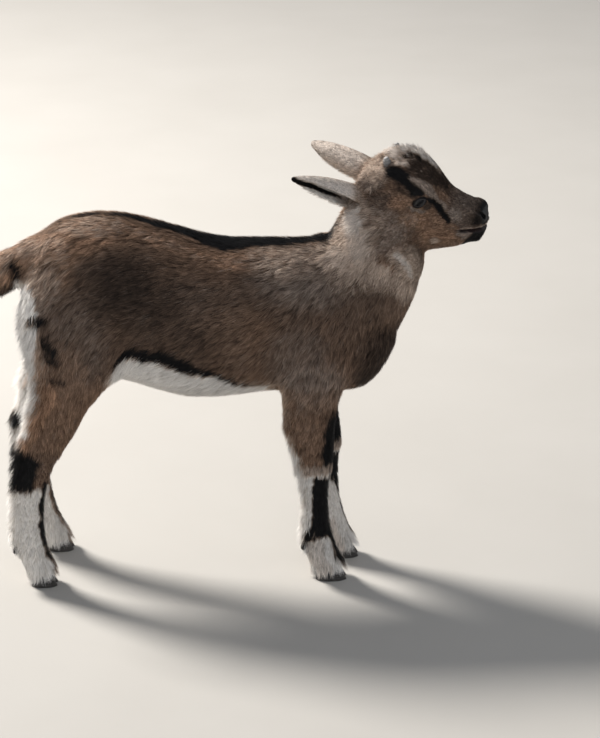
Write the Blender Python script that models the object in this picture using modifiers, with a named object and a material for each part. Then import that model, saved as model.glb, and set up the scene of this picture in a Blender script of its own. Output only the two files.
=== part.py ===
"""A dwarf goat kid of about four weeks, standing with its neck stretched forward and its ears held back.

Metres. +X runs towards the nose, +Y to the kid's left and +Z up. While it is built, the middle plane of the
body is Y = 0 and the soles of the hooves are on Z = 0; the last step puts the bottom centre of the whole kid
on the origin.

The flesh is made whole, out to the tips of its coat: lofts and rounded masses are fused, smoothed and thinned.
Thin cuts then part it where a person would name its parts. Ears, eyes, horn buds, claws and dewclaws are
pieces of their own, each a hair's breadth clear of the flesh it sits in.
"""

import math

import bmesh
import bpy
import numpy as np
from mathutils import Matrix, Vector

COLLECTION = "goat_kid"
CUTTERS = "cutters"
GAP = 0.0003  # between two pieces that touch

# Driving heights of the body.
WITHERS = 0.357
CROUP = 0.383

# How the flesh is fused and thinned.
FUSE_VOXEL = 0.0022
SMOOTH_ROUNDS = 8
FLESH_TRIANGLES = 6000
KEPT_AFTER_CUTS = 0.56  # share of a piece's triangles, as the cuts leave many thin ones
RING_POINTS = 28
SIDES = {"left": 1.0, "right": -1.0}

# Upright sections of the trunk, tail end to breast: x, top, bottom, half width.
TRUNK = (
    (-0.201, 0.334, 0.284, 0.022),
    (-0.190, 0.353, 0.258, 0.034),
    (-0.166, CROUP - 0.007, 0.236, 0.045),
    (-0.126, CROUP + 0.001, 0.218, 0.051),
    (-0.086, CROUP - 0.004, 0.205, 0.055),
    (-0.046, WITHERS + 0.010, 0.194, 0.060),
    (-0.008, WITHERS, 0.194, 0.062),
    (0.032, WITHERS - 0.001, 0.199, 0.059),
    (0.070, WITHERS, 0.199, 0.052),
    (0.105, WITHERS, 0.197, 0.044),
    (0.133, 0.340, 0.201, 0.038),
    (0.153, 0.312, 0.221, 0.029),
    (0.166, 0.288, 0.247, 0.016),
)
TRUNK_WIDEST = 0.45  # of the way up a section

# Sections square to the middle line of the neck and of the tail: x, z, half depth, half width.
NECK = (
    (0.100, 0.284, 0.066, 0.044),
    (0.122, 0.310, 0.064, 0.041),
    (0.142, 0.3365, 0.053, 0.037),
    (0.148, 0.362, 0.043, 0.0335),
    (0.155, 0.385, 0.038, 0.031),
    (0.160, 0.405, 0.031, 0.028),
)
TAIL = (
    (-0.168, 0.348, 0.020, 0.022),
    (-0.190, 0.336, 0.022, 0.021),
    (-0.208, 0.327, 0.021, 0.019),
    (-0.228, 0.318, 0.019, 0.017),
    (-0.250, 0.308, 0.016, 0.014),
    (-0.272, 0.296, 0.011, 0.010),
    (-0.290, 0.284, 0.005, 0.005),
)

# Level sections of a leg from the body down: height, rear edge, front edge, distance out from the middle
# plane, half width. Edges are measured from the leg's own upright line.
FORELEG = (
    (0.262, -0.040, 0.042, 0.033, 0.020),
    (0.232, -0.041, 0.036, 0.035, 0.022),
    (0.208, -0.036, 0.027, 0.035, 0.022),
    (0.186, -0.033, 0.021, 0.034, 0.020),
    (0.164, -0.0285, 0.019, 0.033, 0.0175),
    (0.142, -0.023, 0.0185, 0.0315, 0.0155),
    (0.126, -0.019, 0.017, 0.0305, 0.0148),
    (0.110, -0.016, 0.014, 0.030, 0.0130),
    (0.088, -0.014, 0.013, 0.0295, 0.0118),
    (0.064, -0.0145, 0.0145, 0.029, 0.0122),
    (0.046, -0.0155, 0.019, 0.028, 0.0138),
    (0.034, -0.013, 0.0225, 0.0275, 0.0138),
    (0.023, -0.008, 0.0280, 0.027, 0.0132),
    (0.012, -0.0055, 0.0325, 0.0265, 0.0130),
    (0.003, -0.0045, 0.0340, 0.0265, 0.0130),
)
HINDLEG = (
    (0.326, -0.008, 0.070, 0.020, 0.018),
    (0.294, -0.0145, 0.100, 0.028, 0.025),
    (0.262, -0.0085, 0.108, 0.033, 0.0265),
    (0.234, -0.0020, 0.088, 0.036, 0.0245),
    (0.210, -0.0025, 0.066, 0.0375, 0.0215),
    (0.190, -0.0075, 0.050, 0.0385, 0.0190),
    (0.172, -0.0135, 0.041, 0.0390, 0.0175),
    (0.156, -0.0235, 0.032, 0.0395, 0.0162),
    (0.140, -0.0262, 0.020, 0.0400, 0.0152),
    (0.118, -0.0285, 0.0105, 0.0405, 0.0132),
    (0.094, -0.0300, 0.0045, 0.0410, 0.0122),
    (0.070, -0.0312, 0.0030, 0.0412, 0.0120),
    (0.050, -0.0312, 0.0042, 0.0415, 0.0134),
    (0.036, -0.0270, 0.0075, 0.0415, 0.0136),
    (0.024, -0.0205, 0.0120, 0.0415, 0.0132),
    (0.012, -0.0175, 0.0155, 0.0415, 0.0130),
    (0.003, -0.0165, 0.0165, 0.0415, 0.0130),
)

# The four legs: their sections, upright line, and how far the stifle or elbow, the hock or knee, and the foot
# are swung forward of it. The joint heights are shared by both legs of a pair.
FORE_JOINTS = {"upper": 0.186, "middle": 0.126, "fetlock": 0.042}
HIND_JOINTS = {"upper": 0.200, "middle": 0.150, "fetlock": 0.044}
LEGS = {
    "foreleg_right": (FORELEG, 0.086, "right", FORE_JOINTS, (0.000, 0.000, 0.000)),
    "foreleg_left": (FORELEG, 0.086, "left", FORE_JOINTS, (0.001, 0.010, 0.013)),
    "hindleg_right": (HINDLEG, -0.190, "right", HIND_JOINTS, (0.000, 0.000, 0.000)),
    "hindleg_left": (HINDLEG, -0.190, "left", HIND_JOINTS, (-0.015, -0.010, 0.010)),
}

# How far before and behind a leg's line the cuts across it reach.
CUT_REACH = {"foreleg": 0.050, "hindleg": 0.072}

# Claws, two to a foot, and the slanted edge of skin (the coronet) above them.
CLAW_WIDTH = 0.0116
CLEFT = 0.0010
CORONET_FRONT = 0.0165
CORONET_REAR = 0.0085
CLAW_POINTS = 12
CLAW_SETBACK = 0.0085  # how far behind the toe the claw's upper edge stops
CLAWS = {"foreleg": (-0.0010, 0.0325), "hindleg": (-0.0135, 0.0150)}  # heel and toe, from the leg's line

# The head has a frame of its own, between the eyes: x to the nose, y to the kid's left, z up.
HEAD_PLACE = Vector((0.194, 0.0, 0.406))
HEAD_TURN = math.radians(-16)
HEAD_NOD = math.radians(18)
HEAD_TILT = math.radians(8)

# Sections across the head, nape to lips: x, top, bottom, and half widths at the heights below.
HEAD_LEVELS = (0.84, 0.62, 0.36, 0.12)  # of the way up a section: brow, eye, cheek, jaw
HEAD = (
    (-0.064, 0.002, -0.050, 0.013, 0.020, 0.020, 0.013),
    (-0.052, 0.0200, -0.064, 0.021, 0.027, 0.026, 0.016),
    (-0.040, 0.0325, -0.072, 0.0250, 0.0305, 0.0285, 0.0175),
    (-0.026, 0.0385, -0.0765, 0.0265, 0.0315, 0.0300, 0.0185),
    (-0.012, 0.0365, -0.0745, 0.0270, 0.0312, 0.0295, 0.0180),
    (0.002, 0.0285, -0.0695, 0.0245, 0.0292, 0.0280, 0.0170),
    (0.016, 0.0185, -0.0632, 0.0175, 0.0240, 0.0250, 0.0158),
    (0.030, 0.0144, -0.0548, 0.0130, 0.0190, 0.0210, 0.0142),
    (0.044, 0.0130, -0.0455, 0.0115, 0.0165, 0.0180, 0.0128),
    (0.054, 0.0110, -0.0370, 0.0110, 0.0160, 0.0160, 0.0110),
    (0.0615, 0.0050, -0.0285, 0.0095, 0.0140, 0.0132, 0.0090),
    (0.0665, -0.0040, -0.0215, 0.0055, 0.0080, 0.0078, 0.0050),
)
# The cut behind the head and the one along the mouth, which stops at it: x, z in the head's frame.
NAPE = (-0.101, 0.015)
THROAT = (0.030, -0.087)
MOUTH_FRONT = (0.072, -0.0060)
MOUTH_BACK = (-0.0201, -0.0483)

# Rounded masses over the lofts, in the head's frame and then the body's: centre and radii, on both sides.
HEAD_MASSES = (
    ((-0.006, 0.0220, 0.0105), (0.0120, 0.0075, 0.0055)),  # brow
    ((-0.020, 0.0180, -0.0360), (0.0240, 0.0135, 0.0230)),  # cheek
    ((-0.052, 0.0215, -0.0120), (0.0130, 0.0120, 0.0140)),  # root of the ear
    ((0.052, 0.0085, 0.0010), (0.0110, 0.0078, 0.0085)),  # wing of the nostril
    ((0.058, 0.0050, -0.0240), (0.0090, 0.0070, 0.0070)),  # lower lip
)
BODY_MASSES = (
    ((0.098, 0.028, 0.262), (0.040, 0.024, 0.058)),  # shoulder
    ((0.060, 0.030, 0.300), (0.034, 0.020, 0.045)),  # shoulder blade
    ((-0.136, 0.030, 0.272), (0.056, 0.027, 0.062)),  # thigh
    ((-0.140, 0.020, 0.350), (0.044, 0.020, 0.024)),  # rump
)

# The cut above the thighs, seen from the side, buttock to flank: x, z.
THIGH_REAR = (-0.209, 0.300)
THIGH_FRONT = (-0.090, 0.200)
THIGH_CUT_DEPTH = 0.10  # of the upright cut between the thighs

EYE_PLACE = Vector((0.000, 0.0205, -0.0010))
EYE_RADIUS = 0.0110
HORN_PLACE = Vector((-0.043, 0.0165, 0.0190))
HORN_LEAN = math.radians(24)
HORN_SPREAD = math.radians(7)
HORN_RADII = (0.0046, 0.0050, 0.0090)
NOSTRIL_PLACE = Vector((0.0605, 0.0085, 0.0005))
NOSTRIL_RADII = (0.0045, 0.0028, 0.0020)
DEWCLAW_RADII = (0.0042, 0.0036, 0.0050)

# Ears: root and tip in the head's frame, and the way the open side faces.
EARS = {
    "right": (Vector((-0.046, -0.023, -0.023)), Vector((-0.120, -0.062, -0.012)), Vector((0.1, -1.0, -0.55))),
    "left": (Vector((-0.046, 0.023, -0.019)), Vector((-0.131, 0.048, -0.027)), Vector((0.1, 1.0, -0.55))),
}
# Along an ear: how far from root to tip, radius of its curl, and half the angle that the curl takes up.
EAR_CURL = (
    (0.00, 0.0094, 158),
    (0.18, 0.0112, 142),
    (0.38, 0.0119, 126),
    (0.60, 0.0107, 112),
    (0.80, 0.0078, 98),
    (0.93, 0.0045, 86),
    (1.00, 0.0022, 80),
)
EAR_THICKNESS = 0.0026
EAR_STEPS = 2
EAR_COLUMNS = 8

# Anchors by which the cut flesh is named: a point inside each piece.
NAMES = {
    "head": (0.180, 0.0, 0.415),
    "lower_jaw": (0.215, -0.008, 0.358),
    "neck": (0.145, 0.0, 0.350),
    "trunk": (0.000, 0.0, 0.280),
    "tail": (-0.240, 0.0, 0.312),
}
for leg, (_, line, side, joints, swing) in LEGS.items():
    y = SIDES[side] * 0.036
    if leg.startswith("hindleg"):
        NAMES[f"{leg}_thigh"] = (-0.150, y, 0.262)
        NAMES[f"{leg}_shank"] = (-0.180, y, 0.185)
    else:
        NAMES[f"{leg}_forearm"] = (line + 0.002, y, 0.160)
    NAMES[f"{leg}_cannon"] = (line + swing[1], y, 0.085)
    NAMES[f"{leg}_pastern"] = (line + swing[2], y, 0.026)

COLOURS = {  # base colour, roughness
    "brown_coat": ((0.180, 0.110, 0.072), 0.90),
    "grey_brown_coat": ((0.230, 0.165, 0.125), 0.90),
    "white_coat": ((0.620, 0.570, 0.500), 0.90),
    "dark_coat": ((0.035, 0.028, 0.026), 0.90),
    "pale_ear": ((0.330, 0.290, 0.250), 0.85),
    "horn": ((0.120, 0.110, 0.100), 0.55),
    "hoof": ((0.050, 0.045, 0.042), 0.50),
    "eye": ((0.070, 0.065, 0.060), 0.12),
}


def clear_scene():
    for item in list(bpy.data.objects):
        bpy.data.objects.remove(item, do_unlink=True)
    for group in list(bpy.data.collections):
        bpy.data.collections.remove(group)


def new_collection(name):
    group = bpy.data.collections.new(name)
    bpy.context.scene.collection.children.link(group)
    return group


def coloured(name):
    base, roughness = COLOURS[name]
    material = bpy.data.materials.get(name)
    if material is None:
        material = bpy.data.materials.new(name)
        material.use_nodes = True
        shader = material.node_tree.nodes["Principled BSDF"]
        shader.inputs["Base Color"].default_value = (*base, 1.0)
        shader.inputs["Roughness"].default_value = roughness
        shader.inputs["Metallic"].default_value = 0.0
        material.diffuse_color = (*base, 1.0)
    return material


def object_from(name, shape, group):
    mesh = bpy.data.meshes.new(name)
    bmesh.ops.recalc_face_normals(shape, faces=shape.faces[:])
    shape.to_mesh(mesh)
    shape.free()
    item = bpy.data.objects.new(name, mesh)
    group.objects.link(item)
    return item


def as_cutter(item):
    item.hide_render = True
    item.display_type = "WIRE"
    return item


def smooth_rows(rows, steps):
    """The rows with steps - 1 more between each two, on a smooth curve through all of them."""
    rows = np.array(rows, dtype=float)
    padded = np.vstack([2 * rows[0] - rows[1], rows, 2 * rows[-1] - rows[-2]])
    smooth = []
    for index in range(1, len(padded) - 2):
        before, start, end, after = padded[index - 1 : index + 3]
        for step in range(steps):
            t = step / steps
            bend = (2 * before - 5 * start + 4 * end - after) * t**2
            twist = (3 * start - before - 3 * end + after) * t**3
            smooth.append(start + 0.5 * ((end - before) * t + bend + twist))
    smooth.append(rows[-1])
    return smooth


def loft(name, rings, group):
    """A closed body through rings of points, with a point to close each end."""
    shape = bmesh.new()
    loops = []
    for ring in rings:
        loops.append([shape.verts.new(point) for point in ring])
    count = len(loops[0])
    for lower, upper in zip(loops, loops[1:]):
        for index in range(count):
            after = (index + 1) % count
            shape.faces.new((lower[index], lower[after], upper[after], upper[index]))
    for loop in (loops[0], loops[-1]):
        middle = sum((vertex.co for vertex in loop), Vector()) / count
        hub = shape.verts.new(middle)
        for index in range(count):
            shape.faces.new((loop[index], loop[(index + 1) % count], hub))
    return object_from(name, shape, group)


def oval(across, up, down, squareness=2.2):
    """Points (sideways, upwards) round an oval whose upper and lower halves may differ."""
    points = []
    for index in range(RING_POINTS):
        angle = math.tau * index / RING_POINTS
        side, rise = math.cos(angle), math.sin(angle)
        height = up if rise > 0 else down
        y = across * math.copysign(abs(side) ** (2 / squareness), side)
        z = height * math.copysign(abs(rise) ** (2 / squareness), rise)
        points.append((y, z))
    return points


def trunk(group):
    rings = []
    for x, top, bottom, across in smooth_rows(TRUNK, 3):
        widest = bottom + TRUNK_WIDEST * (top - bottom)
        rings.append([Vector((x, y, widest + z)) for y, z in oval(across, top - widest, widest - bottom)])
    return loft("trunk_mass", rings, group)


def tube(name, rows, group):
    """A neck or tail: ovals square to a middle line that lies in the middle plane."""
    rows = smooth_rows(rows, 3)
    rings = []
    for index, (x, z, deep, across) in enumerate(rows):
        start = rows[max(index - 1, 0)]
        end = rows[min(index + 1, len(rows) - 1)]
        along = Vector((end[0] - start[0], 0.0, end[1] - start[1])).normalized()
        square = Vector((-along.z, 0.0, along.x))
        ring = [Vector((x, y, z)) + square * rise for y, rise in oval(across, deep, deep)]
        rings.append(ring)
    return loft(name, rings, group)


def swung(height, joints, swing):
    """How far forward a leg is carried at this height."""
    heights = (0.0, joints["middle"], joints["upper"], joints["upper"] + 0.07)
    return float(np.interp(height, heights, (swing[2], swing[1], swing[0], 0.0)))


def leg_loft(name, group):
    sections, line, side, joints, swing = LEGS[name]
    rings = []
    for height, rear, front, out, across in smooth_rows(sections, 3):
        x = line + (rear + front) / 2 + swung(height, joints, swing)
        y = SIDES[side] * out
        half = (front - rear) / 2
        rings.append([Vector((x + along, y + wide, height)) for wide, along in oval(across, half, half)])
    return loft(name + "_mass", rings, group)


def head_frame():
    turn = Matrix.Rotation(HEAD_TURN, 4, "Z") @ Matrix.Rotation(HEAD_NOD, 4, "Y")
    return Matrix.Translation(HEAD_PLACE) @ turn @ Matrix.Rotation(HEAD_TILT, 4, "X")


def head_loft(group):
    frame = head_frame()
    rings = []
    for x, top, bottom, *halves in smooth_rows(HEAD, 3):
        half_outline = [(0.0, top)]
        for level, half in zip(HEAD_LEVELS, halves):
            half_outline.append((half, bottom + level * (top - bottom)))
        half_outline.append((0.0, bottom))
        left = [tuple(point) for point in half_outline]
        right = [(-y, z) for y, z in reversed(half_outline[1:-1])]
        closed = smooth_rows(left + right + left[:1], 3)[:-1]
        rings.append([frame @ Vector((x, y, z)) for y, z in closed])
    return loft("head_mass", rings, group)


def ball(name, place, radii, group, segments=24, rings=14):
    """A stretched ball; place is a matrix or a point."""
    place = place if isinstance(place, Matrix) else Matrix.Translation(place)
    shape = bmesh.new()
    bmesh.ops.create_uvsphere(shape, u_segments=segments, v_segments=rings, radius=1.0)
    bmesh.ops.transform(shape, matrix=place @ Matrix.Diagonal((*radii, 1.0)), verts=shape.verts)
    return object_from(name, shape, group)


def mirrored(point, side):
    return Vector((point[0], SIDES[side] * point[1], point[2]))


def masses(group):
    frame = head_frame()
    made = []
    for side in SIDES:
        for centre, radii in HEAD_MASSES:
            place = frame @ Matrix.Translation(mirrored(centre, side))
            made.append(ball("head_lump", place, radii, group))
        for centre, radii in BODY_MASSES:
            made.append(ball("body_lump", mirrored(centre, side), radii, group))
    return made


def evaluated_mesh(item, name):
    """The object's mesh with its modifiers, as a mesh of its own."""
    bpy.context.view_layer.update()
    graph = bpy.context.evaluated_depsgraph_get()
    mesh = bpy.data.meshes.new_from_object(item.evaluated_get(graph))
    mesh.name = name
    return mesh


def thin_out(item, share):
    thin = item.modifiers.new("thin", "DECIMATE")
    thin.ratio = share
    item.data = evaluated_mesh(item, item.name)
    item.modifiers.clear()


def whole_flesh(group):
    """All flesh as one closed body, thinned to few triangles."""
    lumps = [trunk(group), tube("neck_mass", NECK, group), tube("tail_mass", TAIL, group), head_loft(group)]
    lumps += [leg_loft(name, group) for name in LEGS]
    lumps += masses(group)
    shape = bmesh.new()
    for lump in lumps:
        shape.from_mesh(lump.data)
        bpy.data.objects.remove(lump, do_unlink=True)
    flesh = object_from("flesh", shape, group)
    fuse = flesh.modifiers.new("fuse", "REMESH")
    fuse.mode = "VOXEL"
    fuse.voxel_size = FUSE_VOXEL
    soften = flesh.modifiers.new("soften", "SMOOTH")
    soften.factor = 0.5
    soften.iterations = SMOOTH_ROUNDS
    flesh.data = evaluated_mesh(flesh, "flesh")
    flesh.modifiers.clear()

    triangles = sum(len(face.vertices) - 2 for face in flesh.data.polygons)
    thin_out(flesh, FLESH_TRIANGLES / triangles)
    return flesh


def slab(name, start, end, group, low=-0.2, high=0.2, thick=GAP, frame=Matrix.Identity(4)):
    """A thin cut seen edge on from the side, from start to end (x, z), and from y = low to y = high."""
    start, end = Vector((start[0], 0.0, start[1])), Vector((end[0], 0.0, end[1]))
    along = end - start
    lean = math.atan2(along.z, along.x)
    middle = (start + end) / 2 + Vector((0.0, (low + high) / 2, 0.0))
    size = Matrix.Diagonal((along.length, high - low, thick, 1.0))
    shape = bmesh.new()
    bmesh.ops.create_cube(shape, size=1.0)
    place = frame @ Matrix.Translation(middle) @ Matrix.Rotation(-lean, 4, "Y") @ size
    bmesh.ops.transform(shape, matrix=place, verts=shape.verts)
    return as_cutter(object_from(name, shape, group))


def level_cut(name, leg, height, rise, group):
    """A cut across one leg at a joint; rise is how much higher its front edge is than its rear."""
    _, line, side, joints, swing = LEGS[leg]
    x = line + swung(height, joints, swing)
    low, high = (0.0, 0.2) if side == "left" else (-0.2, 0.0)
    reach = CUT_REACH[leg.split("_")[0]]
    start = (x - reach, height - rise * reach)
    end = (x + reach, height + rise * reach)
    return slab(name, start, end, group, low, high)


def sole_cut(leg, group):
    """A slanted block that clears the leg's flesh away below the coronet."""
    kind = leg.split("_")[0]
    _, line, side, _, swing = LEGS[leg]
    heel, toe = (line + swing[2] + edge for edge in CLAWS[kind])
    slope = (CORONET_FRONT - CORONET_REAR) / (toe - heel)
    start = Vector((heel - 0.02, 0.0, CORONET_REAR - 0.02 * slope))
    end = Vector((toe + 0.02, 0.0, CORONET_FRONT + 0.02 * slope))
    depth = 0.04
    down = Vector((slope, 0.0, -1.0)).normalized() * depth / 2
    low, high = (0.0, 0.2) if side == "left" else (-0.2, 0.0)
    start, end = start + down, end + down
    return slab(leg + "_sole", (start.x, start.z), (end.x, end.z), group, low, high, thick=depth)


def cuts(group):
    """Every cutter that parts the flesh."""
    made = [
        slab("head_cut", NAPE, THROAT, group, frame=head_frame()),
        slab("mouth_cut", MOUTH_FRONT, MOUTH_BACK, group, frame=head_frame()),
        slab("neck_cut", (0.080, 0.3985), (0.196, 0.2345), group),
        slab("tail_cut", (-0.209, 0.375), (-0.209, 0.270), group),
        slab("thigh_cut", THIGH_REAR, THIGH_FRONT, group),
        between_thighs(group),
    ]
    for leg, (_, _, _, joints, _) in LEGS.items():
        fore = leg.startswith("foreleg")
        made.append(level_cut(leg + "_upper", leg, joints["upper"], 0.10, group))
        made.append(level_cut(leg + "_middle", leg, joints["middle"], 0.0 if fore else -0.25, group))
        made.append(level_cut(leg + "_fetlock", leg, joints["fetlock"], 0.10, group))
        made.append(sole_cut(leg, group))
    return made


def between_thighs(group):
    """The upright cut between the thighs, from the thigh cut downwards."""
    shape = bmesh.new()
    bmesh.ops.create_cube(shape, size=1.0)
    rear, front = Vector(THIGH_REAR), Vector(THIGH_FRONT)
    along = front - rear
    depth = THIGH_CUT_DEPTH
    lean = Matrix.Rotation(-math.atan2(along.y, along.x), 4, "Y")
    size = Matrix.Diagonal((along.length + 0.03, GAP, depth, 1.0))
    middle = Matrix.Translation(((rear.x + front.x) / 2, 0.0, (rear.y + front.y) / 2))
    place = middle @ lean @ Matrix.Translation((0.0, 0.0, -depth / 2)) @ size
    bmesh.ops.transform(shape, matrix=place, verts=shape.verts)
    return as_cutter(object_from("between_thighs", shape, group))


def ear(side, group):
    """A leaf curled round its length, open along one side and narrowing to its tip."""
    root, tip, opening = EARS[side]
    frame = head_frame()
    along = (tip - root).normalized()
    opening = (opening - along * opening.dot(along)).normalized()
    edge = along.cross(opening) * SIDES[side]
    rows = smooth_rows(EAR_CURL, EAR_STEPS)
    shape = bmesh.new()
    grid = []
    for share, radius, half_angle in rows:
        row = []
        for column in range(EAR_COLUMNS):
            angle = math.radians(half_angle) * (2 * column / (EAR_COLUMNS - 1) - 1)
            out = edge * math.sin(angle) - opening * math.cos(angle)
            row.append(shape.verts.new(frame @ (root.lerp(tip, share) + out * radius)))
        grid.append(row)
    for lower, upper in zip(grid, grid[1:]):
        for column in range(EAR_COLUMNS - 1):
            shape.faces.new((lower[column], lower[column + 1], upper[column + 1], upper[column]))
    leaf = object_from("ear_" + side, shape, group)
    thickness = leaf.modifiers.new("thickness", "SOLIDIFY")
    thickness.thickness = EAR_THICKNESS
    thickness.offset = 0.0
    return leaf


def claw_outline(heel, toe, inner, outer):
    """Points (x, y) round a claw's sole: nearly flat on the inside, curved outside, narrowest at the toe."""
    points = []
    for index in range(CLAW_POINTS):
        angle = math.tau * index / CLAW_POINTS
        x = (heel + toe) / 2 + (toe - heel) / 2 * math.cos(angle)
        narrowing = 1.0 - 0.30 * max(math.cos(angle), 0.0) ** 2
        rise = math.sin(angle)
        if rise > 0:
            y = inner + (outer - inner) * (0.30 + 0.70 * rise**0.8 * narrowing)
        else:
            y = inner + (outer - inner) * 0.30 * (1 - abs(rise) ** 0.5)
        points.append((x, y))
    return points


def claw(leg, which, group):
    """One half of a cloven hoof, flat underneath, standing just under the edge of the skin."""
    kind, side = leg.split("_")
    sections, line, _, _, swing = LEGS[leg]
    heel, toe = (line + swing[2] + edge for edge in CLAWS[kind])
    middle = SIDES[side] * sections[-1][3]
    way = SIDES[side] if which == "outer" else -SIDES[side]
    inner, outer = middle + way * CLEFT / 2, middle + way * (CLEFT / 2 + CLAW_WIDTH)
    slope = (CORONET_FRONT - CORONET_REAR) / (toe - heel)
    sole = claw_outline(heel, toe, inner, outer)
    rim = claw_outline(heel + 0.001, toe - CLAW_SETBACK, inner, outer - way * 0.0012)
    rings = [[Vector((x, y, 0.0)) for x, y in sole]]
    rings.append([Vector((x, y, CORONET_REAR + slope * (x - heel) - GAP)) for x, y in rim])
    return loft(f"claw_{leg}_{which}", rings, group)


def dewclaw_place(leg, which):
    sections, line, side, joints, swing = LEGS[leg]
    height = joints["fetlock"] - 0.004
    rows = np.array(sections)[::-1]
    rear = float(np.interp(height, rows[:, 0], rows[:, 1]))
    way = 1.0 if which == "outer" else -1.0
    x = line + swung(height, joints, swing) + rear + 0.0022
    y = SIDES[side] * (float(np.interp(height, rows[:, 0], rows[:, 3])) + way * 0.0062)
    return Matrix.Translation((x, y, height)) @ Matrix.Rotation(math.radians(24), 4, "Y")


def seat(piece, place, radii, group, segments, rings):
    """The cutter of the hollow in the flesh for a ball-shaped piece, larger by the gap all round."""
    wider = tuple(radius + GAP for radius in radii)
    return as_cutter(ball(piece + "_seat", place, wider, group, segments, rings))


def cut_away(item, cutters):
    """The item's mesh with every cutter taken out of it, one after another."""
    for cutter in cutters:
        cut = item.modifiers.new("cut", "BOOLEAN")
        cut.operation = "DIFFERENCE"
        cut.solver = "MANIFOLD"
        cut.object = cutter
    item.data = evaluated_mesh(item, item.name)
    item.modifiers.clear()


def islands(mesh):
    """The separate closed bodies of a mesh, each as a bmesh."""
    shape = bmesh.new()
    shape.from_mesh(mesh)
    shape.faces.ensure_lookup_table()
    seen = set()
    bodies = []
    for first in shape.faces:
        if first.index in seen:
            continue
        found, waiting = [], [first]
        seen.add(first.index)
        while waiting:
            face = waiting.pop()
            found.append(face.index)
            for edge in face.edges:
                for neighbour in edge.link_faces:
                    if neighbour.index not in seen:
                        seen.add(neighbour.index)
                        waiting.append(neighbour)
        bodies.append(set(found))
    pieces = []
    for body in bodies:
        piece = shape.copy()
        piece.faces.ensure_lookup_table()
        others = [face for face in piece.faces if face.index not in body]
        bmesh.ops.delete(piece, geom=others, context="FACES")
        pieces.append(piece)
    shape.free()
    return pieces


def name_for(piece):
    """The name whose anchor is nearest to the middle of the piece."""
    low = Vector([min(vertex.co[axis] for vertex in piece.verts) for axis in range(3)])
    high = Vector([max(vertex.co[axis] for vertex in piece.verts) for axis in range(3)])
    middle = (low + high) / 2
    return min(NAMES, key=lambda name: (Vector(NAMES[name]) - middle).length)


def coat_colour(name):
    if name == "tail":
        return "dark_coat"
    if name in ("head", "lower_jaw", "neck"):
        return "grey_brown_coat"
    if name.endswith(("_cannon", "_pastern")):
        return "white_coat"
    return "brown_coat"


def part_flesh(flesh, seats, group):
    """One object for each piece of the cut flesh, named, thinned, hollowed by the seats and coloured."""
    made = {}
    for piece in islands(flesh.data):
        name = name_for(piece)
        if name in made:
            raise ValueError(f"two pieces are nearest to the anchor of {name}")
        item = object_from(name, piece, group)
        thin_out(item, KEPT_AFTER_CUTS)
        cut_away(item, seats)
        item.data.materials.append(coloured(coat_colour(name)))
        made[name] = item
    missing = set(NAMES) - set(made)
    if missing:
        raise ValueError(f"no piece for {sorted(missing)}")
    bpy.data.objects.remove(flesh, do_unlink=True)
    return list(made.values())


def stand_over_origin(items):
    """Moves everything so that the bottom centre of the whole kid is the origin."""
    low, high = Vector((math.inf,) * 3), Vector((-math.inf,) * 3)
    for item in items:
        for vertex in item.data.vertices:
            low = Vector(map(min, low, vertex.co))
            high = Vector(map(max, high, vertex.co))
    shift = Matrix.Translation((-(low.x + high.x) / 2, -(low.y + high.y) / 2, -low.z))
    for item in items:
        item.data.transform(shift)


def build():
    clear_scene()
    parts = new_collection(COLLECTION)
    cutters = new_collection(CUTTERS)
    frame = head_frame()

    flesh = whole_flesh(parts)
    seats = []
    items = []
    for side in SIDES:
        eye_place = frame @ Matrix.Translation(mirrored(EYE_PLACE, side)) @ Matrix.Rotation(math.pi / 2, 4, "X")
        eye_size = (EYE_RADIUS,) * 3
        eye = ball("eye_" + side, eye_place, eye_size, parts, 16, 9)
        eye.data.materials.append(coloured("eye"))
        seats.append(seat("eye_" + side, eye_place, eye_size, cutters, 16, 9))
        out = Matrix.Rotation(-HORN_SPREAD * SIDES[side], 4, "X")
        horn_place = frame @ Matrix.Translation(mirrored(HORN_PLACE, side))
        horn_place = horn_place @ out @ Matrix.Rotation(-HORN_LEAN, 4, "Y")
        horn = ball("horn_bud_" + side, horn_place, HORN_RADII, parts, 9, 6)
        horn.data.materials.append(coloured("horn"))
        seats.append(seat("horn_bud_" + side, horn_place, HORN_RADII, cutters, 9, 6))
        nostril = frame @ Matrix.Translation(mirrored(NOSTRIL_PLACE, side))
        seats.append(as_cutter(ball("nostril_" + side, nostril, NOSTRIL_RADII, cutters, 10, 6)))
        items += [eye, horn]
    for leg in LEGS:
        for which in ("inner", "outer"):
            hoof = claw(leg, which, parts)
            spur_place = dewclaw_place(leg, which)
            spur = ball(f"dewclaw_{leg}_{which}", spur_place, DEWCLAW_RADII, parts, 7, 4)
            seats.append(seat(spur.name, spur_place, DEWCLAW_RADII, cutters, 7, 4))
            for item in (hoof, spur):
                item.data.materials.append(coloured("hoof"))
                items.append(item)

    outside = flesh.copy()
    outside.data = flesh.data.copy()
    cutters.objects.link(outside)
    outside.name = "flesh_outside"
    clear = outside.modifiers.new("clear", "DISPLACE")
    clear.strength = GAP
    clear.mid_level = 0.0
    as_cutter(outside)
    for side in SIDES:
        leaf = ear(side, parts)
        cut_away(leaf, [outside])
        leaf.data.materials.append(coloured("pale_ear"))
        items.append(leaf)

    cut_away(flesh, cuts(cutters))
    items += part_flesh(flesh, seats, parts)
    stand_over_origin(items)
    for item in items:
        item.data.shade_smooth()


build()
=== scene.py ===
"""A young dwarf goat that stands with its neck stretched forward and its ears held back.

One skin covers all the flesh and carries the markings. Over it lie short solid locks of hair that follow the
lie of the coat. The eyes, their lids, the horn buds and the hooves are pieces of their own.
"""

import math

import bmesh
import bpy
import numpy as np
from mathutils import Matrix, Vector
from mathutils.bvhtree import BVHTree
from mathutils.kdtree import KDTree

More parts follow.
